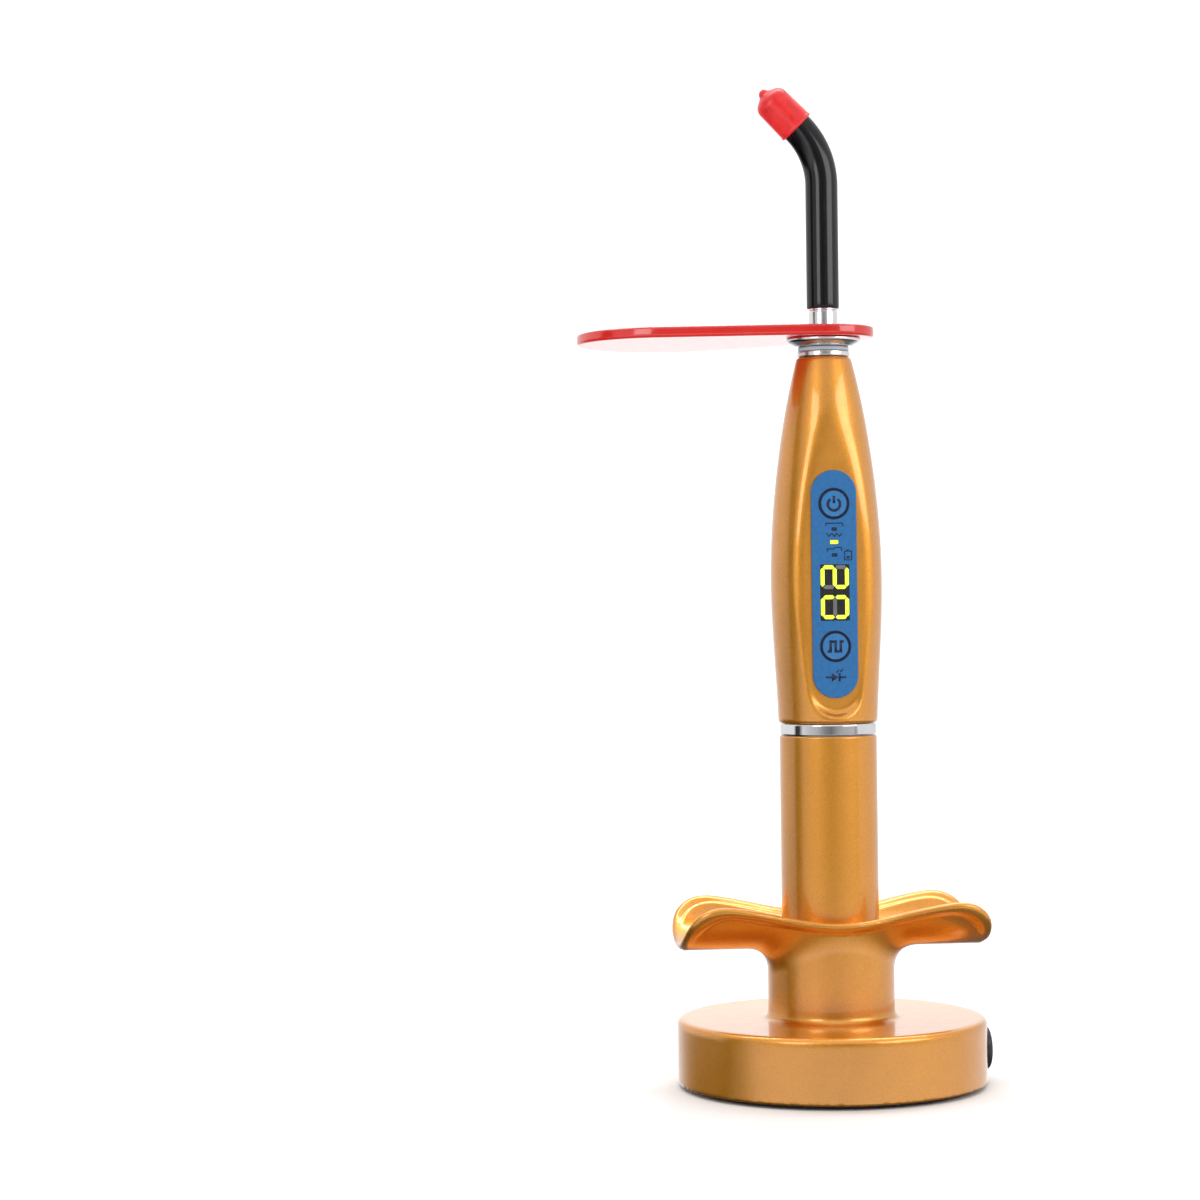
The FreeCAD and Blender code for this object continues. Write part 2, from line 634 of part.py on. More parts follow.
def guide_ferrule():
    body = tube(FERRULE_R, CORE_R, PLUG_Z, SHEATH_Z)
    body = softened(body, 0.2, lambda e: level(e, PLUG_Z, FERRULE_R))
    for z in O_RING_Z:
        body = body.cut(tube(FERRULE_R + 1, 3.1, z - 0.35, z + 0.35))
    return body


def guide_o_rings():
    """Two seals that hold the guide in its socket and let it turn."""
    return Part.makeCompound([Part.makeTorus(3.36, 0.25, V(0, 0, z), Z) for z in O_RING_Z])


def tip_cap():
    """Soft cap over the guide's tip: an open tube whose end domes up to a small nub."""
    start, way = tip_start(), tip_direction()
    cap = spun([(GUIDE_R + 0.05, 0), (CAP_R - 0.2, 0), (CAP_R, 0.3), (CAP_R, CAP_LEN - 0.9)] + CAP_DOME
               + [(0, CAP_LEN - 1.6), (GUIDE_R + 0.05, CAP_LEN - 1.6)])
    cap.rotate(V(0, 0, 0), Y, -BEND_ANGLE)
    cap.translate(start + way * 0.05)
    return cap


def eye_shield():
    """Flat paddle on the guide's foot: two circles joined by straight tangents."""
    lean = math.asin((SHIELD_END_R - SHIELD_HUB_R) / SHIELD_REACH)

    def tangent(r, centre_x, side):
        return V(centre_x + r * math.sin(lean), side * r * math.cos(lean), SHIELD_Z)

    far = -SHIELD_REACH
    hub = [tangent(SHIELD_HUB_R, 0, s) for s in (-1, 1)]
    end = [tangent(SHIELD_END_R, far, s) for s in (-1, 1)]
    wire = Part.Wire([
        Part.makeLine(end[0], hub[0]),
        Part.Arc(hub[0], V(SHIELD_HUB_R, 0, SHIELD_Z), hub[1]).toShape(),
        Part.makeLine(hub[1], end[1]),
        Part.Arc(end[1], V(far - SHIELD_END_R, 0, SHIELD_Z), end[0]).toShape(),
    ])
    plate = Part.Face(wire).extrude(V(0, 0, SHIELD_T))
    plate = softened(plate, 0.5, lambda e: e.BoundBox.ZLength < 0.01)
    plate = plate.cut(tube(FERRULE_R + 0.08, 0, SHIELD_Z - 1, SHIELD_Z + SHIELD_T + 1))
    plate.rotate(V(0, 0, 0), Z, SHIELD_TURN)
    return plate


NODES = {
    "stand_body": stand_body,
    "base_plate": base_plate,
    "base_screws": base_screws,
    "non_slip_pad": non_slip_pad,
    "ballast_ring": ballast_ring,
    "dc_jack": dc_jack,
    "dc_jack_nut": dc_jack_nut,
    "dc_jack_pin": dc_jack_pin,
    "jack_leads": jack_leads,
    "charge_board": charge_board,
    "board_screws": board_screws,
    "pin_holder": pin_holder,
    "charge_pin_centre": lambda: charge_pin(PIN_X[0]),
    "charge_pin_outer": lambda: charge_pin(PIN_X[1]),
    "pin_spring_centre": lambda: pin_spring(PIN_X[0]),
    "pin_spring_outer": lambda: pin_spring(PIN_X[1]),
    "end_cap": end_cap,
    "contact_ring": contact_ring,
    "contact_insulator": contact_insulator,
    "contact_centre": contact_centre,
    "battery_spring": battery_spring,
    "battery_cell": battery_cell,
    "lower_sleeve": lower_sleeve,
    "joining_sleeve": joining_sleeve,
    "decor_band": decor_band,
    "contact_holder": contact_holder,
    "battery_contact": battery_contact,
    "battery_leads": battery_leads,
    "upper_casing": upper_casing,
    "panel_overlay": panel_overlay,
    "display_window": display_window,
    "digit_display": digit_display,
    "mode_light_pipes": mode_light_pipes,
    "mode_leds": mode_leds,
    "power_button": lambda: button(POWER_Z),
    "mode_button": lambda: button(MODE_Z),
    "tact_switches": tact_switches,
    "control_board": control_board,
    "microcontroller": microcontroller,
    "driver_inductor": driver_inductor,
    "buzzer": buzzer,
    "inner_frame": inner_frame,
    "led_heatsink": led_heatsink,
    "led_leads": led_leads,
    "led_emitter": led_emitter,
    "led_lens": led_lens,
    "guide_socket": guide_socket,
    "neck_ring": neck_ring,
    "neck_gasket": neck_gasket,
    "head_collar": head_collar,
    "guide_core": guide_core,
    "guide_sheath": guide_sheath,
    "guide_ferrule": guide_ferrule,
    "guide_o_rings": guide_o_rings,
    "tip_cap": tip_cap,
    "eye_shield": eye_shield,
}

os.makedirs("parts", exist_ok=True)
for name, make in NODES.items():
    shape = make()
    if not shape.isValid():
        print("not valid:", name)
    if min(s.Volume for s in shape.Solids) <= 0:
        print("no volume:", name)
    shape.exportStep(os.path.join("parts", name + ".step"))
print(len(NODES), "nodes")
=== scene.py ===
"""The curing light's looks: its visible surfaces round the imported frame, with materials, light and camera."""
import json
import math

import bpy
import numpy as np
from mathutils import Matrix, Vector


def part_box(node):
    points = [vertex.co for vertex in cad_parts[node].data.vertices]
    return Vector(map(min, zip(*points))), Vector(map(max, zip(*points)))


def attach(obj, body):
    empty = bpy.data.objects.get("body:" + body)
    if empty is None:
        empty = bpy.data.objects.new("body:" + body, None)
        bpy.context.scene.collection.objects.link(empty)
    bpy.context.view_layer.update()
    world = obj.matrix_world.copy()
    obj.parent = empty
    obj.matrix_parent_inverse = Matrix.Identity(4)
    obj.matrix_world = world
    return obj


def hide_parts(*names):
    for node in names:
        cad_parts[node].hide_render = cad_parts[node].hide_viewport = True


MM = 0.001
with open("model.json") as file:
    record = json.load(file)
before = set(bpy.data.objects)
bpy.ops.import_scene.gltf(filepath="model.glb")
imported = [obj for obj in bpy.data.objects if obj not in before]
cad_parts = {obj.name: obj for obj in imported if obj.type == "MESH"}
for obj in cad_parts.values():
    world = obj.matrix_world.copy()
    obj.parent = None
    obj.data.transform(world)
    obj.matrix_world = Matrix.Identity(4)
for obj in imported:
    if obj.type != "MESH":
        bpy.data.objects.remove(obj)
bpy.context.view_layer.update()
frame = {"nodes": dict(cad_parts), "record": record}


# ------------------------------ places, read from the frame in millimetres

def span(node):
    """The node's box as two numpy points in millimetres."""
    low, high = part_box(node)
    return np.array(low) / MM, np.array(high) / MM


def bottom(node):
    return span(node)[0][2]


def top(node):
    return span(node)[1][2]


def radius(node):
    low, high = span(node)
    return (high[1] - low[1]) / 2.0


def middle(node):
    low, high = span(node)
    return (low + high) / 2.0


def round_size(node):
    """Bottom, top and radius of an upright round node."""
    return bottom(node), top(node), radius(node)


# ------------------------------ mesh tools


def add_object(name, data):
    """A new object of the scene, holding that mesh, light or camera."""
    obj = bpy.data.objects.new(name, data)
    bpy.context.scene.collection.objects.link(obj)
    return obj


def finish_piece(name, verts, faces, slot, body, replaced=(), smooth=True):
    """A mesh object from millimetre points, riding on its body, with its slot's material."""
    mesh = bpy.data.meshes.new(name)
    mesh.from_pydata([tuple(v) for v in np.asarray(verts, float) * MM], [], [tuple(f) for f in faces])
    mesh.validate()
    mesh.update()
    mesh.shade_smooth() if smooth else mesh.shade_flat()
    obj = add_object(name, mesh)
    obj.data.materials.append(MATERIALS[slot])
    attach(obj, body)
    if replaced:
        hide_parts(*replaced)
    return obj


def rounded(points, radii, steps=5):
    """An outline of (a, b) points with each corner turned into an arc of its radius."""
    out = []
    count = len(points)
    for i in range(count):
        before, here, after = (np.array(points[(i + k) % count], float) for k in (-1, 0, 1))
        r = radii[i] if isinstance(radii, (list, tuple)) else radii
        u, v = before - here, after - here
        lu, lv = np.linalg.norm(u), np.linalg.norm(v)
        u, v = u / lu, v / lv
        half = math.acos(max(-1.0, min(1.0, float(u @ v)))) / 2.0
        reach = min(r / math.tan(half), lu * 0.49, lv * 0.49) if half > 0.01 else 0.0
        if r <= 0 or reach < 1e-4 or half > math.pi / 2 - 0.01:
            out.append(here)
            continue
        r = reach * math.tan(half)
        centre = here + (u + v) / np.linalg.norm(u + v) * (r / math.sin(half))
        start, end = here + u * reach - centre, here + v * reach - centre
        a0 = math.atan2(start[1], start[0])
        turn = (math.atan2(end[1], end[0]) - a0 + math.pi) % (2 * math.pi) - math.pi
        for k in range(steps + 1):
            a = a0 + turn * k / steps
            out.append(centre + r * np.array([math.cos(a), math.sin(a)]))
    return out


def supported(outline, gap=0.07):
    """The outline with extra points just inside the ends of its long edges, so that they shade flat."""
    out = []
    for i, here in enumerate(outline):
        here, after = np.array(here, float), np.array(outline[(i + 1) % len(outline)], float)
        length = np.linalg.norm(after - here)
        out.append(here)
        if length > 4 * gap:
            out += [here + (after - here) * gap / length, after - (after - here) * gap / length]
    return out


def tube_faces(rings, steps, closed):
    """Quads between rings of steps points each; closed also joins the last ring to the first."""
    faces = []
    for i in range(rings if closed else rings - 1):
        near, far = i * steps, (i + 1) % rings * steps
        for k in range(steps):
            m = (k + 1) % steps
            faces.append((near + k, near + m, far + m, far + k))
    return faces


def lathe(name, outline, slot, body, replaced=(), steps=96, centre=(0, 0, 0), axis="Z"):
    """A closed (radius, along) outline turned about an axis through centre."""
    outline = supported(outline)
    turns = np.arange(steps) * 2 * math.pi / steps
    verts = []
    for r, along in outline:
        c, s = r * np.cos(turns), r * np.sin(turns)
        a = np.full(steps, along)
        ring = {"Z": (c, s, a), "X": (a, c, s), "Y": (s, a, c)}[axis]
        verts.append(np.stack(ring, 1))
    verts = np.concatenate(verts) + np.array(centre, float)
    faces = tube_faces(len(outline), steps, True)
    area = sum(a[0] * b[1] - b[0] * a[1] for a, b in zip(outline, outline[1:] + outline[:1]))
    if area < 0:
        faces = [f[::-1] for f in faces]
    return finish_piece(name, verts, faces, slot, body, replaced)


def plain_ring(name, node, inner_r, soft, slot, steps=96):
    """A ring of the handpiece over a node, with soft outer corners."""
    low, high, r = round_size(node)
    outline = rounded([(inner_r, low), (r, low), (r, high), (inner_r, high)], [0.1, soft, soft, 0.1])
    lathe(name, outline, slot, "handpiece", [node], steps)


def neighbours(grid, d):
    """The grid without its last layer along direction d, and the grid without its first."""
    low, high = [slice(None)] * 3, [slice(None)] * 3
    low[d], high[d] = slice(None, -1), slice(1, None)
    return grid[tuple(low)], grid[tuple(high)]


def edge_crossings(value):
    """For each grid cell: the sum of the places where the surface crosses its edges, and their number."""
    total = np.zeros((*(n - 1 for n in value.shape), 3))
    hits = np.zeros(total.shape[:3])
    for d in range(3):
        a, b = neighbours(value, d)
        cross = (a < 0) != (b < 0)
        t = np.where(cross, a / np.where(cross, a - b, 1.0), 0.0)
        others = [k for k in range(3) if k != d]
        for corner in ((0, 0), (0, 1), (1, 0), (1, 1)):
            shift = [0, 0, 0]
            shift[others[0]], shift[others[1]] = corner
            part = tuple(slice(shift[k], shift[k] + hits.shape[k]) for k in range(3))
            hits += cross[part]
            total[..., d] += np.where(cross[part], t[part], 0.0)
            for k in others:
                total[..., k] += np.where(cross[part], shift[k], 0.0)
    return total, hits


def crossing_quads(inside, index):
    """A quad between the four cells round each edge that the surface crosses, facing outwards."""
    faces = []
    for d in range(3):
        a, b = neighbours(inside, d)
        u, v = (d + 1) % 3, (d + 2) % 3
        eu, ev = np.zeros(3, int), np.zeros(3, int)
        eu[u], ev[v] = 1, 1
        for flip, found in ((False, a & ~b), (True, ~a & b)):
            at = np.argwhere(found)
            at = at[(at[:, u] > 0) & (at[:, v] > 0)]
            corners = [index[tuple((at - shift).T)] for shift in (eu + ev, ev, 0 * eu, eu)]
            faces.append(np.stack(corners[::-1] if flip else corners, 1))
    return np.concatenate(faces)


def onto_surface(points, shape, cell):
    """Moves the points along the gradient onto the zero surface, in four careful steps."""
    eps, longest = cell * 0.05, cell * 0.35
    for _ in range(4):
        x, y, z = points.T
        f = shape(x, y, z)
        grad = np.stack([shape(x + eps, y, z) - shape(x - eps, y, z),
                         shape(x, y + eps, z) - shape(x, y - eps, z),
                         shape(x, y, z + eps) - shape(x, y, z - eps)], 1) / (2 * eps)
        length = np.maximum((grad ** 2).sum(1), 0.05)
        move = -(f / length)[:, None] * grad
        size = np.linalg.norm(move, axis=1, keepdims=True)
        points = points + move * np.minimum(1.0, longest / np.maximum(size, 1e-9))
    return points


def skin(name, shape, low, high, cell, slot, body, replaced=()):
    """The zero surface of shape(x, y, z), which is negative inside, as quads drawn onto the exact surface."""
    axes = [np.arange(a - cell * 1.5, b + cell * 2.0, cell) for a, b in zip(low, high)]
    value = shape(*np.meshgrid(*axes, indexing="ij"))
    total, hits = edge_crossings(value)
    used = hits > 0
    index = np.full(used.shape, -1)
    index[used] = np.arange(int(used.sum()))
    start = np.array([axis[0] for axis in axes])
    points = start + cell * (np.argwhere(used) + total[used] / hits[used][:, None])
    faces = crossing_quads(value < 0, index)
    return finish_piece(name, onto_surface(points, shape, cell), faces, slot, body, replaced)


def smin(a, b, k):
    """Smooth union of two distance fields, with a fillet of about k."""
    h = np.maximum(k - np.abs(a - b), 0.0) / k
    return np.minimum(a, b) - h * h * k * 0.25


def smax(a, b, k):
    """Smooth intersection."""
    return -smin(-a, -b, k)


def round_box(a, b, r):
    """Two distances joined at a corner of radius r: inside where both are negative."""
    p, q = a + r, b + r
    return np.hypot(np.maximum(p, 0), np.maximum(q, 0)) + np.minimum(np.maximum(p, q), 0) - r


def stadium_field(x, z, half_width, low, high):
    """Distance to an upright slot outline with round ends."""
    over = np.maximum(np.maximum(z - (high - half_width), (low + half_width) - z), 0)
    return np.hypot(x, over) - half_width


# ------------------------------ materials

class Nodes:
    """A node tree, with short ways to add nodes and to join them."""

    def __init__(self, tree):
        self.tree = tree

    def feed(self, socket, value):
        """Joins a node's output to the socket, or sets the socket to a plain value."""
        if isinstance(value, bpy.types.NodeSocket):
            self.tree.links.new(value, socket)
        else:
            socket.default_value = value

    def node(self, kind, inputs=None, **settings):
        """A new node with its settings, and with its inputs fed by name or number."""
        made = self.tree.nodes.new(kind)
        for key, value in settings.items():
            setattr(made, key, value)
        for socket, value in (inputs or {}).items():
            self.feed(made.inputs[socket], value)
        return made

    def ramp(self, source, stops):
        """A colour ramp whose stops are (place, colour)."""
        made = self.node("ShaderNodeValToRGB", {"Fac": source})
        for i, (place, colour) in enumerate(stops):
            stop = made.color_ramp.elements[i] if i < 2 else made.color_ramp.elements.new(place)
            stop.position = place
            stop.color = (*colour, 1.0)
        return made.outputs["Color"]

    def blend(self, kind, share, a, b):
        mix = self.node("ShaderNodeMix", {0: share, 6: a, 7: b}, data_type="RGBA", blend_type=kind)
        return mix.outputs[2]


class Paint(Nodes):
    """A Principled material with short ways to add noise to its sockets."""

    def __init__(self, name, colour, rough, metallic=0.0, **sockets):
        self.material = bpy.data.materials.new(name)
        self.material.use_nodes = True
        super().__init__(self.material.node_tree)
        self.shader = self.tree.nodes["Principled BSDF"]
        self.set("Base Color", (*colour, 1.0))
        self.set("Roughness", rough)
        self.set("Metallic", metallic)
        for socket, value in sockets.items():
            self.set(socket.replace("_", " "), value)
        self.place = self.node("ShaderNodeTexCoord").outputs["Object"]

    def set(self, socket, value):
        self.feed(self.shader.inputs[socket], value)

    def noise(self, size_mm, detail=4.0, stretch=(1, 1, 1), cells=False):
        """Noise whose features are about size_mm across, or cells of that size."""
        mapping = self.node("ShaderNodeMapping", {"Vector": self.place, "Scale": stretch})
        inputs = {"Vector": mapping.outputs["Vector"], "Scale": 1000.0 / size_mm}
        if cells:
            return self.node("ShaderNodeTexVoronoi", inputs).outputs["Color"]
        return self.node("ShaderNodeTexNoise", {**inputs, "Detail": detail}).outputs["Fac"]

    def tint(self, source, dark, light, clip=(0.3, 0.7)):
        """Colours the base between two tones by a noise, on top of what is there already."""
        colour = self.ramp(source, zip(clip, (dark, light)))
        base = self.shader.inputs["Base Color"]
        if base.links:
            colour = self.blend("MULTIPLY", 1.0, base.links[0].from_socket, colour)
        self.feed(base, colour)

    def rough(self, source, low, high, clip=(0.3, 0.7)):
        """Spreads the roughness from low to high by a noise."""
        inputs = {"Value": source, "From Min": clip[0], "From Max": clip[1], "To Min": low, "To Max": high}
        self.set("Roughness", self.node("ShaderNodeMapRange", inputs).outputs["Result"])

    def bump(self, source, height_mm, strength=1.0):
        """Adds relief by a noise, on top of what is there already."""
        inputs = {"Height": source, "Distance": height_mm * MM, "Strength": strength}
        normal = self.shader.inputs["Normal"]
        if normal.links:
            inputs["Normal"] = normal.links[0].from_socket
        self.set("Normal", self.node("ShaderNodeBump", inputs).outputs["Normal"])


def gold_paint():
    """Metallic gold lacquer: fine flakes under a glossy clear coat, with slow changes of tone and gloss."""
    paint = Paint("gold_lacquer", (0.82, 0.335, 0.030), 0.38, 0.86,
                  Coat_Weight=1.0, Coat_Roughness=0.06, Coat_IOR=1.6)
    flakes = paint.node("ShaderNodeRGBToBW", {"Color": paint.noise(0.16, cells=True)})
    paint.tint(flakes.outputs["Val"], (0.75, 0.305, 0.025), (0.90, 0.378, 0.038), (0.15, 0.85))
    paint.tint(paint.noise(9.0, 3.0), (0.96, 0.94, 0.90), (1.0, 1.0, 1.0))
    paint.rough(paint.noise(3.0, 5.0), 0.35, 0.42)
    paint.bump(paint.noise(0.22, 2.0), 0.008, 0.3)
    paint.bump(paint.noise(1.6, 2.0), 0.010, 0.2)
    return paint


def plating(name, tone, rough, haze, dark, light):
    """Chrome plating with fine polishing marks; haze is the range of its roughness."""
    paint = Paint(name, (tone, tone, tone + 0.02), rough, 1.0)
    paint.rough(paint.noise(2.0, 5.0, (1, 1, 12)), *haze)
    paint.tint(paint.noise(3.0, 3.0), dark, light)
    paint.bump(paint.noise(0.5, 3.0, (1, 1, 14)), 0.004, 0.3)
    return paint


def chrome():
    return plating("bright_chrome", 0.86, 0.06, (0.04, 0.10), (0.84, 0.84, 0.86), (0.90, 0.90, 0.92))


def satin_chrome():
    """The same plating, a little hazy, on the small rings of the head."""
    return plating("satin_chrome", 0.93, 0.2, (0.16, 0.25), (0.90, 0.90, 0.92), (0.95, 0.95, 0.96))


def turned_metal(name, colour, rough, grain=(1, 1, 14)):
    paint = Paint(name, colour, rough, 1.0)
    dark = tuple(c * 0.86 for c in colour)
    paint.tint(paint.noise(1.2, 5.0, grain), dark, colour)
    paint.rough(paint.noise(0.8, 4.0, grain), rough * 0.8, rough * 1.25)
    paint.bump(paint.noise(0.3, 3.0, grain), 0.008, 0.4)
    return paint


def gloss_black():
    """Black cladding of the light guide, drawn along its length, glossy with a faint haze."""
    paint = Paint("guide_cladding", (0.004, 0.004, 0.005), 0.14, 0.0)
    paint.tint(paint.noise(2.5, 4.0, (3, 3, 0.4)), (0.002, 0.002, 0.003), (0.006, 0.006, 0.008))
    paint.rough(paint.noise(1.0, 4.0, (2, 2, 0.5)), 0.11, 0.17)
    paint.bump(paint.noise(0.9, 2.0), 0.005, 0.25)
    return paint


def moulded(name, colour, rough, grain_mm=0.35, height=0.012, **sockets):
    """Moulded plastic with a fine spark texture."""
    paint = Paint(name, colour, rough, 0.0, **sockets)
    dark = tuple(c * 0.85 for c in colour)
    light = tuple(min(1.0, c * 1.12 + 0.002) for c in colour)
    paint.tint(paint.noise(4.0, 4.0), dark, light)
    paint.rough(paint.noise(0.8, 4.0), rough * 0.88, min(1.0, rough * 1.12))
    paint.bump(paint.noise(grain_mm, 3.0), height, 0.5)
    return paint


def red_vinyl():
    """Soft dip-moulded vinyl: slightly waxy, a little light comes through it."""
    paint = Paint("cap_vinyl", (0.80, 0.012, 0.014), 0.30, 0.0,
                  Subsurface_Weight=0.25, Subsurface_Scale=0.0009, Coat_Weight=0.3, Coat_Roughness=0.20)
    paint.set("Subsurface Radius", (1.0, 0.22, 0.18))
    paint.tint(paint.noise(2.6, 4.0), (0.72, 0.009, 0.010), (0.88, 0.020, 0.024))
    paint.rough(paint.noise(1.1, 4.0), 0.28, 0.42)
    paint.bump(paint.noise(1.8, 3.0), 0.05, 0.35)
    return paint


def red_acrylic():
    """Red acrylic sheet, glossy, with a little light coming through it."""
    paint = Paint("shield_acrylic", (0.72, 0.026, 0.018), 0.08, 0.0,
                  Transmission_Weight=0.22, IOR=1.49, Coat_Weight=0.85, Coat_Roughness=0.05, Coat_IOR=1.55)
    paint.tint(paint.noise(14.0, 3.0), (0.74, 0.015, 0.011), (0.84, 0.027, 0.020))
    paint.rough(paint.noise(2.0, 5.0), 0.14, 0.24)
    paint.bump(paint.noise(5.0, 2.0), 0.01, 0.15)
    return paint


def printed_blue(name, colour):
    """Printed film: a screened ink under a satin hard coat."""
    paint = Paint(name, colour, 0.42, 0.0, Coat_Weight=0.15, Coat_Roughness=0.18)
    dark = tuple(c * 0.90 for c in colour)
    light = tuple(c * 1.10 for c in colour)
    paint.tint(paint.noise(1.0, 4.0), dark, light)
    paint.rough(paint.noise(0.5, 4.0), 0.36, 0.48)
    paint.bump(paint.noise(0.12, 2.0), 0.004, 0.4)
    return paint


def dark_window():
    paint = Paint("window_film", (0.012, 0.013, 0.014), 0.12, 0.0, Coat_Weight=0.5, Coat_Roughness=0.05)
    paint.tint(paint.noise(1.5, 3.0), (0.010, 0.010, 0.011), (0.020, 0.021, 0.022))
    paint.rough(paint.noise(0.9, 4.0), 0.10, 0.18)
    return paint


def lit_segment():
    """Lit segment: glowing yellow-green, with small changes of tone."""
    paint = Paint("lit_segment", (0.70, 0.95, 0.05), 0.4)
    glow = [(0.0, (0.52, 0.83, 0.015)), (1.0, (0.80, 1.0, 0.06))]
    paint.set("Emission Color", paint.ramp(paint.noise(0.7, 2.0), glow))
    paint.set("Emission Strength", 0.95)
    return paint


def clear_plastic():
    paint = Paint("clear_plastic", (0.96, 0.97, 0.98), 0.08, 0.0, Transmission_Weight=0.9, IOR=1.49)
    paint.rough(paint.noise(0.8, 4.0), 0.05, 0.12)
    paint.bump(paint.noise(1.5, 2.0), 0.004, 0.3)
    return paint


def circuit_board():
    """Green solder mask with paler tracks."""
    paint = Paint("circuit_board", (0.02, 0.16, 0.06), 0.4, 0.0, Coat_Weight=0.3)
    inputs = {"Vector": paint.place, "Scale": 260.0, "Color1": (0.02, 0.15, 0.055, 1),
              "Color2": (0.018, 0.13, 0.05, 1), "Mortar": (0.06, 0.26, 0.10, 1)}
    paint.set("Base Color", paint.node("ShaderNodeTexBrick", inputs).outputs["Color"])
    paint.rough(paint.noise(1.0, 4.0), 0.32, 0.48)
    return paint


MAKERS = {
    "gold_paint": gold_paint,
    "black_plastic": lambda: moulded("black_moulding", (0.022, 0.022, 0.025), 0.38),
    "dark_rubber": lambda: moulded("non_slip_rubber", (0.028, 0.028, 0.030), 0.78, 0.5, 0.03),
    "steel": lambda: turned_metal("plain_steel", (0.58, 0.58, 0.60), 0.30),
    "brass": lambda: turned_metal("gilt_brass", (0.83, 0.62, 0.26), 0.20),
    "wire": lambda: moulded("wire_insulation", (0.45, 0.03, 0.03), 0.42),
    "board_green": circuit_board,
    "chrome": chrome,
    "grey_rubber": lambda: moulded("grey_silicone", (0.46, 0.50, 0.53), 0.55, 0.4, 0.01),
    "aluminium": lambda: turned_metal("turned_aluminium", (0.72, 0.73, 0.75), 0.28),
    "panel_blue": lambda: printed_blue("panel_film", (0.012, 0.135, 0.365)),
    "button_blue": lambda: printed_blue("key_film", (0.022, 0.170, 0.420)),
    "dark_window": dark_window,
    "clear_plastic": clear_plastic,
    "led_white": lambda: moulded("led_resin", (0.85, 0.80, 0.45), 0.35),
    "white_plastic": lambda: moulded("white_moulding", (0.78, 0.78, 0.75), 0.45),
    "cell_wrap": lambda: moulded("cell_wrap", (0.03, 0.14, 0.45), 0.28, 0.8, 0.02),
    "guide_black": gloss_black,
    "fibre_glass": clear_plastic,
    "red_vinyl": red_vinyl,
    "red_acrylic": red_acrylic,
    "ink": lambda: moulded("navy_ink", (0.004, 0.014, 0.055), 0.45, 0.2, 0.003),
    "lit": lit_segment,
    "satin_chrome": satin_chrome,
    "unlit": lambda: moulded("unlit_segment", (0.16, 0.15, 0.15), 0.5, 0.3, 0.003),
}
MATERIALS = {slot: maker().material for slot, maker in MAKERS.items()}

for part in frame["record"]["subparts"]:
    node = frame["nodes"][part["node"]]
    node.data.materials.clear()
    node.data.materials.append(MATERIALS[part["material_slot"]])


# ------------------------------ stand

def stand_shell():
    """The stand in one moulding: puck, column and cradle flow into each other, with a hollow base."""
    low, high = span("stand_body")
    base_r, base_top, base_edge = radius("stand_body"), 16.8, 1.6
    column_r, column_top, wall = 15.6, 60.0, 2.2
    half_len, half_wave = 38.35, 33.0
    rim_high, rim_low, bead = high[2], high[2] - 4.6, 1.35
    cradle_r, cradle_bottom = 17.0, 34.0
    axis_z = cradle_bottom + cradle_r
    socket_r = radius("lower_sleeve") + 0.3
    floor_z = bottom("end_cap") - 0.1
    pins = [middle("charge_pin_centre")[0], middle("charge_pin_outer")[0]]
    jack_low, jack_high = span("dc_jack")
    jack_z = middle("dc_jack_pin")[2]
    jack_seat, flange_r = jack_high[0] - 2.4, (jack_high[2] - jack_low[2]) / 2.0 + 0.05

    def rim(x):
        """The rim's height: a cosine, low over the column and high from half_wave to the ends."""
        wave = 1 - np.cos(np.pi * np.minimum(np.abs(x), half_wave) / half_wave)
        return rim_low + (rim_high - rim_low) * wave / 2

    def moulding(x, y, z, r):
        """Puck, column and trough, with the socket's bore and the rolled bead round the rim."""
        puck = round_box(r - base_r, z - base_top, base_edge)
        pipe = np.hypot(y, z - axis_z) - cradle_r
        ends = np.abs(x) - half_len
        column = np.maximum(r - column_r, z - column_top)
        over = smax((z - rim(x)) * 0.97, ends, 11.0)
        body = smin(column, np.maximum(pipe, ends), 6.0)
        body = smin(np.maximum(body, over + bead), puck, 2.0)
        bore = np.maximum(r - socket_r, floor_z - z)
        body = smax(body, -smin(pipe + wall, bore, 1.0), 0.5)
        sunk = np.clip((41.0 - z) / 6.0, 0.0, 1.0) * 1.3
        lip = np.hypot(smin(column, pipe, 6.0) + 0.25 + sunk, over + bead) - bead
        return smin(body, np.maximum(lip, socket_r - r), 0.35)

    def shape(x, y, z):
        """The moulding less the base's hollow, the pins' holes and the inlet's seat."""
        r = np.hypot(x, y)
        body = moulding(x, y, z, r)
        hollow = np.maximum(np.maximum(r - (base_r - wall), z - (base_top - wall)),
                            -np.maximum(r - column_r, (floor_z - 1.5) - z))
        body = np.maximum(body, -hollow)
        for pin_x in pins:
            body = np.maximum(body, -np.maximum(np.hypot(x - pin_x, y) - 0.95, z - floor_z - 2))
        side = np.hypot(y, z - jack_z)
        body = smax(body, -np.maximum(side - flange_r, jack_seat - x), 0.4)
        body = np.maximum(body, -np.maximum(side - 4.0, 30.0 - x))
        return np.maximum(body, low[2] - z)

    return skin("stand_shell", shape, (-half_len, -base_r, low[2]), (half_len, base_r, rim_high), 0.56,
                "gold_paint", "stand", ["stand_body"])


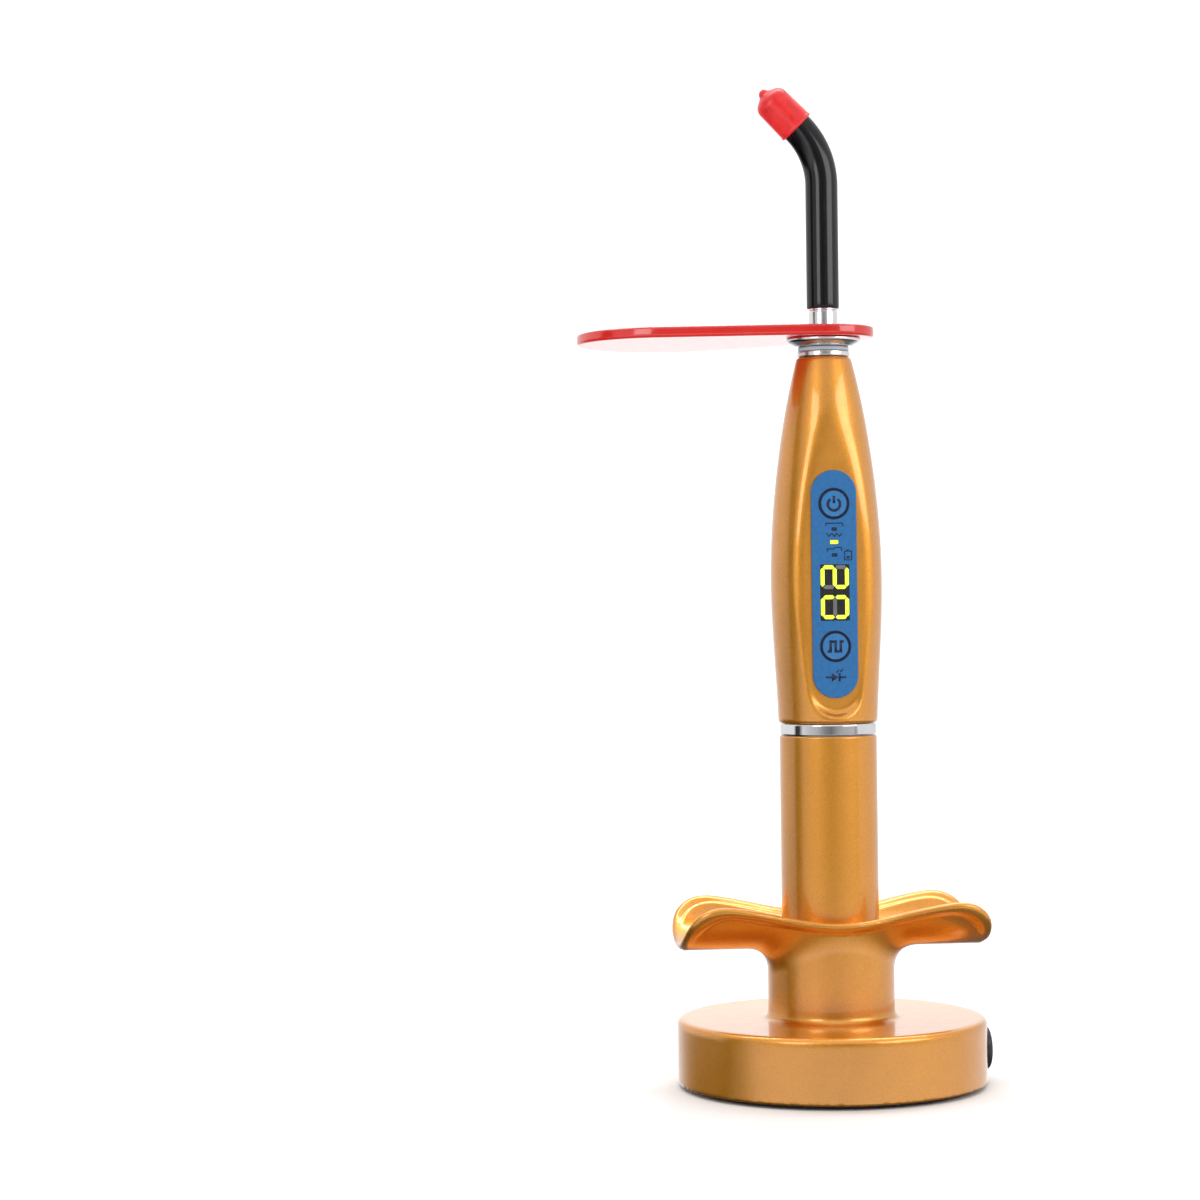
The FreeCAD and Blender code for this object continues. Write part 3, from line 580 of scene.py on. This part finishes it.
def inlet():
    """Charging inlet: a stepped black flange with a deep mouth, on the stand's +X side."""
    low, high = span("dc_jack")
    mid = middle("dc_jack_pin")
    flange_r, barrel_r, mouth_r, back_hole_r = (high[2] - low[2]) / 2.0, 3.95, 2.8, 1.0
    face, shoulder, mouth_end = high[0], high[0] - 2.4, high[0] - 9.5
    outline = rounded([(mouth_r, mouth_end), (mouth_r, face - 0.5), (3.3, face), (flange_r, face),
                       (flange_r, shoulder), (barrel_r, shoulder), (barrel_r, low[0]),
                       (back_hole_r, low[0]), (back_hole_r, mouth_end)],
                      [0.1, 0.3, 0.2, 1.0, 0.1, 0.1, 0.2, 0.05, 0.05])
    return lathe("inlet_flange", outline, "black_plastic", "stand", ["dc_jack"], 72, (0, mid[1], mid[2]), "X")


# ------------------------------ handpiece

def bright_band():
    """The chrome band above the tube, with a bevel at both edges."""
    low, high, r = round_size("decor_band")
    inner_r, bevel_r, bevel = 10.9, r - 0.12, 0.35
    outline = rounded([(inner_r, low), (bevel_r, low), (r, low + bevel), (r, high - bevel), (bevel_r, high),
                       (inner_r, high)], [0.05, 0.1, 0.15, 0.15, 0.1, 0.05], 3)
    lathe("bright_band", outline, "chrome", "handpiece", ["decor_band"], 128)


def barrel_radius():
    """The casing's outline as a cubic spline through its few (radius, height) widths.

    The result gives the radius and its slope at any height.
    """
    widths = [(12.2, 89.2), (12.62, 98.0), (13.3, 110.0), (13.72, 123.5),
              (12.78, 143.4), (10.8, 159.2), (8.6, 171.1), (6.65, 179.2)]
    r = np.array([w[0] for w in widths])
    z = np.array([w[1] for w in widths])
    n = len(z)
    h = np.diff(z)
    a = np.zeros((n, n))
    b = np.zeros(n)
    a[0, 0] = a[-1, -1] = 1.0
    for i in range(1, n - 1):
        a[i, i - 1], a[i, i], a[i, i + 1] = h[i - 1], 2 * (h[i - 1] + h[i]), h[i]
        b[i] = 3 * ((r[i + 1] - r[i]) / h[i] - (r[i] - r[i - 1]) / h[i - 1])
    a[0, 1], a[-1, -2] = -1.0, -1.0
    c = np.linalg.solve(a, b)
    d = np.diff(c) / (3 * h)
    slope = np.diff(r) / h - h * (2 * c[:-1] + c[1:]) / 3

    def at(height):
        clipped = np.clip(height, z[0], z[-1])
        i = np.clip(np.searchsorted(z, clipped, side="right") - 1, 0, n - 2)
        t = clipped - z[i]
        value = r[i] + slope[i] * t + c[i] * t ** 2 + d[i] * t ** 3
        grade = slope[i] + 2 * c[i] * t + 3 * d[i] * t ** 2
        return value, grade

    return at


PANEL_FLOOR = span("panel_overlay")[1][1]


def casing():
    """Upper casing: a swelling barrel with a soft-edged pointed recess round the panel, hollow inside."""
    low, high = bottom("upper_casing"), top("upper_casing")
    half_box = 14.0
    outline = barrel_radius()
    wall, neck_r = 1.6, 8.6
    slot_low, slot_high = bottom("panel_overlay") + 2, top("panel_overlay") - 2
    end_r, end_z, lean = 7.5, 98.6, math.radians(8.0)

    def recess(x, z):
        """Distance to the recess's outline: a round lower end whose sides lean out upwards."""
        q, w = np.abs(x), z - end_z
        side = q * math.cos(lean) - w * math.sin(lean) - end_r
        return np.where(w * math.cos(lean) + q * math.sin(lean) < 0, np.hypot(q, w) - end_r, side)

    def shape(x, y, z):
        r = np.hypot(x, y)
        wide, grade = outline(z)
        barrel = (r - wide) / np.sqrt(1 + grade ** 2)
        ends = np.maximum(low - z, z - high)
        outer = smax(barrel, ends, 0.9)
        scoop = round_box(recess(x, z), y - PANEL_FLOOR, 2.0)
        outer = smax(outer, -scoop, 1.1)
        inner = np.maximum(barrel + wall, (PANEL_FLOOR + wall) - y)
        inner = np.maximum(inner, low + 2.0 - z)
        neck = np.maximum(r - neck_r, z - (low + 3.0))
        inner = np.minimum(inner, neck)
        window = np.maximum(stadium_field(x, z, 4.2, slot_low, slot_high), y + 5.0)
        return np.maximum(outer, -np.minimum(inner, window))

    return skin("casing_shell", shape, (-half_box, -half_box, low), (half_box, half_box, high), 0.42,
                "gold_paint", "handpiece", ["upper_casing"])


def circle(r, x=0.0, z=0.0, steps=64):
    return [(x + r * math.cos(2 * math.pi * k / steps), z + r * math.sin(2 * math.pi * k / steps))
            for k in range(steps)]


def inset(outline, amount):
    """An XZ outline moved inwards by amount, corner by corner."""
    points = np.array(outline, float)
    ahead, behind = np.roll(points, -1, 0) - points, points - np.roll(points, 1, 0)

    def normal(v):
        v = v / np.maximum(np.linalg.norm(v, axis=1, keepdims=True), 1e-12)
        return np.stack([-v[:, 1], v[:, 0]], 1)

    n = normal(ahead) + normal(behind)
    n = n / np.maximum((n ** 2).sum(1, keepdims=True) / 2.0, 0.3)
    return points + n * amount


def slab(name, outlines, layers, slot, body, replaced=()):
    """Upright flat pieces: each XZ outline through layers of (inset, y), from the back to the front."""
    verts, faces = [], []
    for outline in outlines:
        points = np.array(outline, float)
        x, z = points.T
        if np.sum(x * np.roll(z, -1) - np.roll(x, -1) * z) < 0:
            outline = outline[::-1]
        n, first = len(outline), len(verts)
        for amount, y in layers:
            verts += [(px, y, pz) for px, pz in inset(outline, amount)]
        for i in range(len(layers) - 1):
            a, b = first + i * n, first + (i + 1) * n
            faces += [(a + k, b + k, b + (k + 1) % n, a + (k + 1) % n)[::-1] for k in range(n)]
        faces.append(tuple(range(first, first + n))[::-1])
        last = first + (len(layers) - 1) * n
        faces.append(tuple(range(last, last + n)))
    obj = finish_piece(name, verts, faces, slot, body, replaced)
    for poly in obj.data.polygons:
        if abs(poly.normal.y) > 0.999 and len(poly.vertices) > 4:
            poly.use_smooth = False
    return obj


def stroke(points, width, closed=False):
    """A line of that width as a list of four-cornered outlines, with mitred corners."""
    p = np.array(points, float)
    n = len(p)
    ahead = np.roll(p, -1, 0) - p
    behind = p - np.roll(p, 1, 0)
    if not closed:
        ahead[-1], behind[0] = behind[-1], ahead[0]
    ahead /= np.linalg.norm(ahead, axis=1, keepdims=True)
    behind /= np.linalg.norm(behind, axis=1, keepdims=True)
    side = ahead + behind
    side /= np.maximum((side ** 2).sum(1, keepdims=True) / 2.0, 0.4)
    side = np.stack([-side[:, 1], side[:, 0]], 1) * width / 2.0
    left, right = p + side, p - side
    last = n if closed else n - 1
    return [[tuple(left[i]), tuple(left[(i + 1) % n]), tuple(right[(i + 1) % n]), tuple(right[i])]
            for i in range(last)]


def arc_line(r, start, end, x=0.0, z=0.0, steps=40):
    angles = np.radians(np.linspace(start, end, steps))
    return [(x + r * math.cos(a), z + r * math.sin(a)) for a in angles]


PANEL_FACE = span("panel_overlay")[0][1]
INK = 0.035
KEYS = [middle("power_button")[2], middle("mode_button")[2]]
LIGHT_SIZES = [(0.66, 0.36), (1.0, 0.48), (0.66, 0.36)]


def light_heights():
    """The heights of the three mode lights, from the lowest to the highest, over the LEDs behind them."""
    low, high = bottom("mode_leds"), top("mode_leds")
    mid, reach = (low + high) / 2, (high - low) / 2 - 0.5
    return [mid - reach, mid + 0.02, mid + reach]


LIGHTS = light_heights()


def print_on_panel(name, outlines):
    """Raised printing, a few hundredths of a millimetre thick."""
    return slab(name, outlines, [(0, PANEL_FACE + 0.02), (0, PANEL_FACE - INK)], "ink", "handpiece")


def overlay():
    """The printed panel film, with its openings and softened rim."""
    low, high = span("panel_overlay")
    half, back, front = high[0], high[1], low[1]
    key_hole_r, gap = 3.5, 0.05
    window_low, window_high = span("display_window")
    window_z, window_half = (window_low[2] + window_high[2]) / 2, (window_high[2] - window_low[2]) / 2

    def shape(x, y, z):
        edge = stadium_field(x, z, half, low[2], high[2])
        body = round_box(edge, front - y, 0.28)
        body = np.maximum(body, y - back)
        for key in KEYS:
            body = smax(body, key_hole_r - np.hypot(x, z - key), 0.12)
        hole = np.maximum(np.abs(x) - window_high[0] - gap, np.abs(z - window_z) - window_half - gap)
        body = np.maximum(body, -hole)
        for light, (half_w, half_h) in zip(LIGHTS, LIGHT_SIZES):
            body = np.maximum(body, -np.maximum(np.abs(x) - half_w, np.abs(z - light) - half_h))
        return body

    return skin("panel_film", shape, (-half, front, low[2]), (half, back, high[2]), 0.17, "panel_blue",
                "handpiece", ["panel_overlay"])


def key_cap(node, piece, body, symbol):
    """A shallow domed key with a dark rim line and a symbol."""
    low, high = span(node)
    mid = middle(node)
    r, front = 3.4, low[1]
    layers = [(0, high[1] - 2.0), (0, front + 0.18), (0.06, front + 0.10), (0.18, front + 0.065)]
    layers += [(d, front + 0.06 * (1 - (d / r)) ** 2) for d in (0.6, 1.1, 1.7, 2.4, 3.0)]
    slab(piece, [circle(r, 0, mid[2])], layers, "button_blue", body, [node])
    ring = stroke(circle(3.26, 0, mid[2], 72), 0.27, True)
    slab(piece + "_rim", ring, [(0, front + 0.09), (0, front + 0.035)], "ink", body)
    marks = [[(px, pz + mid[2]) for px, pz in quad] for quad in symbol]
    slab(piece + "_mark", marks, [(0, front + 0.06), (0, front)], "ink", body)


def power_symbol():
    return stroke(arc_line(1.5, 126, 414, 0, -0.15), 0.66) + stroke([(0, 0.1), (0, 1.9)], 0.66)


def mode_symbol():
    """A stepped pulse, for choosing the light's mode."""
    steps = [(-2.0, -1.2), (-1.25, -1.2), (-1.25, 1.2), (0.0, 1.2), (0.0, -1.2),
             (1.25, -1.2), (1.25, 1.2), (2.0, 1.2)]
    return stroke(steps, 0.64)


def key_rings():
    """A printed ring line round each key."""
    rings = [stroke(circle(3.69, 0, key, 72), 0.34, True) for key in KEYS]
    print_on_panel("key_rings", rings[0] + rings[1])


def mode_signs():
    """The three modes' pictograms and the battery sign."""
    up = LIGHTS[2] + 1.45
    signs = stroke([(-2.05, up - 0.7), (-2.05, up), (2.05, up), (2.05, up - 0.45), (2.35, up - 0.7)], 0.24)
    up = LIGHTS[1] + 1.75
    zigzag = [(x, up + 0.35 * (1 - 2 * (i % 2))) for i, x in enumerate((-1.9, -1.3, -0.6, 0, 0.6, 1.3, 1.9))]
    signs += stroke(zigzag, 0.26)
    up = LIGHTS[0] + 1.5
    signs += stroke([(-1.75, up - 0.6), (-1.75, up), (-0.2, up), (0.2, up + 0.3), (1.75, up + 0.3),
                     (1.75, up - 0.5)], 0.24)
    x, z = 3.35, LIGHTS[0] - 0.1
    signs += stroke([(x - 0.85, z - 1.1), (x + 0.85, z - 1.1), (x + 0.85, z + 1.0), (x - 0.85, z + 1.0)],
                    0.24, True)
    signs += stroke([(x - 0.35, z + 1.32), (x + 0.35, z + 1.32)], 0.26)
    signs += stroke([(x - 0.35, z - 0.45), (x + 0.35, z - 0.45)], 0.55)
    print_on_panel("mode_signs", signs)


def diode_sign():
    """The sign of a light-emitting diode: a lead, a triangle and a bar, a lead, and two rays."""
    z = bottom("panel_overlay") + 5.1
    diode = stroke([(-2.5, z), (-1.0, z)], 0.46) + stroke([(0.85, z), (2.5, z)], 0.46)
    diode += [[(-1.0, z + 1.0), (-1.0, z - 1.0), (0.65, z)]]
    diode += stroke([(0.90, z + 1.0), (0.90, z - 1.0)], 0.46)
    diode += stroke([(0.2, z + 1.15), (0.8, z + 1.75)], 0.32)
    diode += stroke([(1.1, z + 1.3), (1.7, z + 1.9)], 0.32)
    print_on_panel("diode_sign", diode)


def mode_lights():
    """Three small light pipes, the middle one lit."""
    low, high = span("mode_light_pipes")
    for i, (z, size) in enumerate(zip(LIGHTS, LIGHT_SIZES)):
        w, h = (half - 0.04 for half in size)
        outline = rounded([(-w, z - h), (w, z - h), (w, z + h), (-w, z + h)], 0.2, 4)
        piece = slab(f"mode_light_{i}", [outline], [(0, high[1]), (0, low[1] + 0.12), (0.1, low[1] + 0.04)],
                     "clear_plastic", "handpiece", ["mode_light_pipes"])
        piece.data.materials[0] = MATERIALS["lit" if i == 1 else "ink"]


def segment(x0, z0, x1, z1, width, gap=0.12):
    """One bar of a digit, a long hexagon between two corners of the figure."""
    a, b = np.array([x0, z0], float), np.array([x1, z1], float)
    u = (b - a) / np.linalg.norm(b - a)
    v = np.array([-u[1], u[0]])
    a, b = a + u * gap, b - u * gap
    h = width / 2.0
    return [tuple(q) for q in (a, a + (u - v) * h, b - (u + v) * h, b, b - (u - v) * h, a + (u + v) * h)]


def digits():
    """Dark window with two lit figures that read along the handpiece; each lists its lit bars."""
    low, high = span("display_window")
    face = low[1]
    outline = rounded([(low[0], low[2]), (high[0], low[2]), (high[0], high[2]), (low[0], high[2])], 0.3, 4)
    slab("window_pane", [outline], [(0, high[1]), (0, face + 0.1), (0.08, face + 0.03)], "dark_window",
         "handpiece", ["display_window"])
    half_x, half_z, width = 3.0, 2.42, 0.95
    mid = (low[2] + high[2]) / 2.0
    figures = [(mid + 3.75, "left middle right top_left low_right"),
               (mid - 3.55, "left right top_left top_right low_left low_right")]
    lit, unlit = [], []
    for centre, bars in figures:
        hi, lo = centre + half_z, centre - half_z
        places = {
            "left": (-half_x, lo, -half_x, hi), "middle": (0, lo, 0, hi), "right": (half_x, lo, half_x, hi),
            "top_left": (-half_x, hi, 0, hi), "top_right": (0, hi, half_x, hi),
            "low_left": (-half_x, lo, 0, lo), "low_right": (0, lo, half_x, lo),
        }
        for bar, ends in places.items():
            (lit if bar in bars.split() else unlit).append(segment(*ends, width))
    slab("digits_lit", lit, [(0, face + 0.05), (0, face)], "lit", "handpiece", ["digit_display"])
    slab("digits_unlit", unlit, [(0, face + 0.05), (0, face + 0.01)], "unlit", "handpiece")


# ------------------------------ head, guide, shield and cap

def collar_flange():
    """The collar: a cone that widens to a thin rim, with a stepped hole for the guide."""
    low, high, r = round_size("head_collar")
    hole_r, socket_r, step = 3.68, 5.05, high - 1.2
    outline = rounded([(socket_r, low), (r - 2.2, low), (r, low + 1.1), (r, high), (hole_r, high),
                       (hole_r, step), (socket_r, step)], [0.1, 1.6, 0.75, 0.28, 0.1, 0.05, 0.05], 8)
    lathe("collar_flange", outline, "satin_chrome", "handpiece", ["head_collar"], 128)


BEND_START, BEND_R, BEND = 221.7, 20.0, math.radians(45.0)


def bend_point(angle):
    """A point of the guide's bend, towards -X, and the direction of the guide there."""
    point = (-BEND_R * (1 - math.cos(angle)), 0, BEND_START + BEND_R * math.sin(angle))
    return point, (-math.sin(angle), 0, math.cos(angle))


def guide_frames(low, tip):
    """Points and directions along the guide's centre line: straight, bent, then straight for tip."""
    out = [((0, 0, z), (0, 0, 1)) for z in np.linspace(low, BEND_START, 18)]
    out += [bend_point(angle) for angle in np.linspace(0, BEND, 33)[1:]]
    end, way = np.array(out[-1][0]), np.array(out[-1][1])
    out += [(tuple(end + way * d), tuple(way)) for d in np.linspace(0, tip, 6)[1:]]
    return out


def swept(name, section, frames, slot, body, replaced=(), steps=72):
    """A solid round rod along frames; section lists (radius, distance from the end) for its soft ends."""
    turns = np.arange(steps) * 2 * math.pi / steps
    rings = [(frames[0], r, along) for r, along in section]
    rings += [(f, section[-1][0], 0.0) for f in frames[1:]]
    rings += [(frames[-1], r, -along) for r, along in section[-2::-1]]
    verts = []
    for (point, way), r, along in rings:
        way = np.array(way, float)
        side = np.array([way[2], 0, -way[0]])
        centre = np.array(point, float) + way * along
        out = np.cos(turns)[:, None] * side + np.sin(turns)[:, None] * np.array([0, 1.0, 0])
        verts.append(centre + r * out)
    faces = tube_faces(len(rings), steps, False)
    faces.append(tuple(range(steps))[::-1])
    faces.append(tuple(range((len(rings) - 1) * steps, len(rings) * steps)))
    return finish_piece(name, np.concatenate(verts), faces, slot, body, replaced)


def guide_tube():
    """The bent black guide, from just inside its ferrule to the tip."""
    r, tip = radius("guide_sheath"), 8.3
    soft = [(r - 0.5, 0.0), (r - 0.2, 0.06), (r - 0.05, 0.2), (r, 0.45)]
    swept("guide_tube", soft, guide_frames(top("guide_ferrule") - 0.05, tip), "guide_black", "light_guide",
          ["guide_sheath"])


def bright_ferrule():
    """The ferrule: two O-ring grooves low down, hidden in the socket, and a fine line below the guide."""
    low, high, r = round_size("guide_ferrule")
    inner_r, groove_r, half_groove = 3.05, 3.12, 0.35
    outline = [(inner_r, low), (r, low)]
    for z in (175.0, 178.0):
        outline += [(r, z - half_groove), (groove_r, z - half_groove), (groove_r, z + half_groove),
                    (r, z + half_groove)]
    outline += [(r, high - 0.9), (r - 0.1, high - 0.75), (r - 0.1, high - 0.55), (r, high - 0.4), (r, high),
                (inner_r, high)]
    soft = [0.05, 0.2] + [0.08] * 12 + [0.1, 0.05]
    lathe("bright_ferrule", rounded(outline, soft, 3), "satin_chrome", "light_guide", ["guide_ferrule"])


def vinyl_cap():
    """Dip-moulded cap: a rolled open rim, a little taper, and an end that domes up to a pinched nub."""
    origin, way = (np.array(v) for v in bend_point(BEND))
    across = np.array([way[2], 0, -way[0]])
    origin = origin + way * 0.05
    r_cap, bore_r, length, tip = 4.6, 4.06, 10.4, 12.8
    cone = math.radians(27.0)

    def shape(x, y, z):
        px, py, pz = x - origin[0], y - origin[1], z - origin[2]
        along = px * way[0] + pz * way[2]
        u = px * across[0] + pz * across[2]
        r = np.hypot(u, py)
        theta = np.arctan2(py, u)
        taper = 0.06 + 0.022 * along + 0.03 * np.sin(2 * theta + 0.6) * np.clip(along / length, 0, 1)
        wall = r - (r_cap - taper)
        dome = (along - (tip - 0.55)) * math.cos(cone) + r * math.sin(cone)
        body = smax(wall, dome, 1.5)
        body = np.maximum(body, 0.34 - along)
        rim = np.hypot(r - (r_cap - 0.42), along - 0.42) - 0.42
        body = smin(body, rim, 0.3)
        nub = np.hypot(r * np.where(py < 0, 1.0, 0.92), along - (tip - 1.25)) - 1.22
        body = smin(body, nub, 0.45)
        pinch = np.hypot(u - 0.4, np.hypot(py + 1.9, along - (tip - 0.55))) - 0.62
        body = smax(body, -pinch, 0.9)
        bore = np.maximum(r - bore_r, along - (length - 1.7))
        return smax(body, -bore, 0.12)

    ends = [origin + way * a + across * b for a in (0, tip) for b in (-r_cap, r_cap)]
    low = np.min(ends, 0) - np.array([0, r_cap, 0])
    high = np.max(ends, 0) + np.array([0, r_cap, 0])
    return skin("vinyl_cap", shape, low, high, 0.19, "red_vinyl", "tip_cap", ["tip_cap"])


def shield():
    """Eye shield: a flat paddle of red sheet with polished round edges and a hole for the guide."""
    low, high = span("eye_shield")
    hub_r, hole_r, end_r, reach, inward = 12.4, 3.63, 22.0, 41.0, 0.02
    turn = math.radians(-24.5)
    c, s = math.cos(turn), math.sin(turn)
    sin_lean = (end_r - hub_r) / reach
    cos_lean = math.sqrt(1 - sin_lean ** 2)
    middle_z, half = (low[2] + high[2]) / 2.0, (high[2] - low[2]) / 2.0

    def outline(q, w):
        """Distance to the hull of the hub circle and the larger end circle, w measured towards the end."""
        near = np.hypot(q, w) - hub_r
        far = np.hypot(q, w - reach) - end_r
        side = q * cos_lean - w * sin_lean - hub_r
        along = w * cos_lean + q * sin_lean
        return np.where(along < 0, near, np.where(along > reach * cos_lean, far, side))

    def shape(x, y, z):
        px, py = c * x + s * y, -s * x + c * y
        edge = outline(np.abs(py), -px) + inward
        body = round_box(edge, np.abs(z - middle_z) - half, 0.55)
        return smax(body, hole_r - np.hypot(x, y), 0.3)

    return skin("shield_sheet", shape, low, high, 0.42, "red_acrylic", "eye_shield", ["eye_shield"])


# ------------------------------ floor, light and camera

def set_stage():
    """A pale floor that curves up behind the object, and isn't mirrored in glossy surfaces."""
    front, depth, rise, bend, half_width, drop = -1.3, 1.6, 1.9, 0.5, 2.6, 0.00005
    profile = [(front, 0.0), (depth - bend, 0.0)]
    profile += [(depth - bend + bend * math.sin(a), bend - bend * math.cos(a))
                for a in np.linspace(0, math.pi / 2, 14)[1:]]
    profile += [(depth, rise)]
    verts = [(x, y, z - drop) for y, z in profile for x in (-half_width, half_width)]
    faces = [(2 * i, 2 * i + 1, 2 * i + 3, 2 * i + 2) for i in range(len(profile) - 1)]
    mesh = bpy.data.meshes.new("backdrop")
    mesh.from_pydata(verts, [], faces)
    mesh.shade_smooth()
    floor = add_object("backdrop", mesh)
    paint = Paint("pale_floor", (0.93, 0.93, 0.93), 0.7)
    paint.tint(paint.noise(60.0, 3.0), (0.925, 0.925, 0.925), (0.94, 0.94, 0.94))
    floor.data.materials.append(paint.material)
    floor.visible_glossy = False


def lamp(name, place, target, size, radiance):
    """A square-cornered softbox of that size in metres, aimed at target."""
    data = bpy.data.lights.new(name, "AREA")
    data.shape = "RECTANGLE"
    data.size, data.size_y = size
    data.energy = radiance * math.pi * size[0] * size[1]
    obj = add_object(name, data)
    obj.location = place
    obj.rotation_euler = (Vector(target) - Vector(place)).to_track_quat("-Z", "Y").to_euler()


CAMERA_AZIMUTH = math.radians(-11.0)

# The tent's light, by degrees to the right of the camera as seen from the object, each with its level:
# a little above and below eye level, and overhead.
TENT_ABOVE = [(-180, 1.2), (-165, 1.1), (-150, 0.85), (-89, 0.8), (-83, 0.03), (-72, 0.05), (-62, 0.72),
              (-44, 0.56), (-26, 0.48), (-8, 0.25), (8, 0.17), (22, 0.32), (36, 0.42), (64, 0.5),
              (70, 0.3), (77, 0.78), (150, 0.75), (165, 1.0), (180, 1.2)]
TENT_BELOW = [(-180, 1.2), (-150, 0.8), (-132, 0.2), (-120, 0.0), (-84, 0.0), (-66, 0.6), (-56, 1.25),
              (-30, 1.4), (66, 1.4), (110, 0.9), (150, 0.9), (180, 1.2)]
TENT_DOME = [(-180, 1.5), (-130, 0.75), (-60, 0.72), (-20, 0.95), (20, 0.95), (60, 0.75), (130, 0.75),
             (180, 1.5)]


def beside_camera(degrees, distance, height):
    """A place at that angle to the right of the camera's direction, as seen from the object."""
    a = CAMERA_AZIMUTH + math.radians(degrees)
    return math.sin(a) * distance, -math.cos(a) * distance, height


class Sky(Nodes):
    """The world's nodes."""

    def __init__(self):
        world = bpy.data.worlds.new("studio")
        bpy.context.scene.world = world
        world.use_nodes = True
        super().__init__(world.node_tree)

    def math(self, operation, a, b):
        """One step of arithmetic on two values, each a number or a node's output."""
        return self.node("ShaderNodeMath", {0: a, 1: b}, operation=operation).outputs[0]

    def grey(self, source, stops, limit):
        """A grey ramp whose stops are (place, level), with places from -limit to limit."""
        share = self.math("DIVIDE", self.math("SUBTRACT", source, -limit), 2 * limit)
        return self.ramp(share, [((place + limit) / (2 * limit), (level,) * 3) for place, level in stops])

    def direction(self):
        """The height of a direction, from -1 to 1, and its degrees to the right of the camera."""
        place = self.node("ShaderNodeTexCoord").outputs["Generated"]
        turned = self.node("ShaderNodeMapping", {"Vector": place, "Rotation": (0, 0, -CAMERA_AZIMUTH)})
        x, y, z = self.node("ShaderNodeSeparateXYZ", {"Vector": turned.outputs["Vector"]}).outputs
        turn = self.math("ARCTAN2", x, self.math("MULTIPLY", y, -1.0))
        return z, self.math("MULTIPLY", turn, 180.0 / math.pi)


def white_tent():
    """World light: a white tent, grey in front, with a dark slit at the left that is wider below eye level.

    Behind the object the camera itself sees plain white.
    """
    sky = Sky()
    up, degrees = sky.direction()
    above, below, dome = (sky.grey(degrees, stops, 180.0) for stops in (TENT_ABOVE, TENT_BELOW, TENT_DOME))
    sides = sky.blend("MIX", sky.grey(up, [(-0.165, 0.0), (-0.085, 1.0)], 1.0), below, above)
    sides = sky.blend("MIX", sky.grey(up, [(0.30, 0.0), (0.60, 1.0)], 1.0), sides, dome)
    depth = sky.grey(up, [(-0.50, 0.10), (-0.21, 1.0)], 1.0)
    plain = sky.grey(up, [(-1.0, 1.0), (1.0, 1.0)], 1.0)
    seen = sky.node("ShaderNodeLightPath").outputs["Is Camera Ray"]
    shade = sky.tree.nodes["Background"]
    lit = sky.blend("MULTIPLY", 1.0, sides, depth)
    sky.feed(shade.inputs["Color"], sky.blend("MIX", seen, lit, plain))
    sky.feed(shade.inputs["Strength"], 1.0)


def set_light():
    """The tent, two softboxes beside the camera, a soft light above and one that whitens the backdrop."""
    white_tent()
    aim = (0, 0, 0.2)
    lamp("left_softbox", beside_camera(-28, 0.55, 0.31), aim, (0.21, 0.26), 2.8)
    lamp("right_softbox", beside_camera(57, 0.55, 0.31), aim, (0.38, 0.26), 2.8)
    lamp("top_softbox", (0.0, 0.15, 1.15), (0, 0.1, 0), (1.0, 0.8), 0.5)
    lamp("backdrop_light", (0.0, 0.55, 1.7), (0, 1.6, 0.35), (2.4, 0.5), 6.5)
    bpy.context.scene.view_settings.view_transform = "Standard"


def set_camera():
    """Nearly level view from a little to the left of the front, with the object right of the middle."""
    distance, height = 0.715, 0.1186
    yaw_left, pitch_up, roll = math.radians(4.48), math.radians(0.12), math.radians(0.7)
    data = bpy.data.cameras.new("camera")
    data.sensor_width = 36.0
    data.lens = 86.7
    data.clip_start, data.clip_end = 0.05, 20.0
    camera = add_object("camera", data)
    camera.location = beside_camera(0.0, distance, height)
    yaw_turn = Matrix.Rotation(CAMERA_AZIMUTH + yaw_left, 4, "Z")
    pitch_turn = Matrix.Rotation(math.pi / 2 + pitch_up, 4, "X")
    roll_turn = Matrix.Rotation(-roll, 4, "Z")
    camera.rotation_euler = (yaw_turn @ pitch_turn @ roll_turn).to_euler()
    bpy.context.scene.camera = camera


stand_shell()
inlet()
plain_ring("battery_tube", "lower_sleeve", 9.9, 0.45, "gold_paint", 128)
bright_band()
casing()
overlay()
key_cap("power_button", "power_key", "power_button", power_symbol())
key_cap("mode_button", "mode_key", "mode_button", mode_symbol())
key_rings()
mode_signs()
diode_sign()
mode_lights()
digits()
plain_ring("neck_band", "neck_ring", 5.0, 0.28, "satin_chrome")
plain_ring("gasket_lip", "neck_gasket", 5.0, 0.45, "grey_rubber")
collar_flange()
guide_tube()
bright_ferrule()
vinyl_cap()
shield()
set_stage()
set_light()
set_camera()
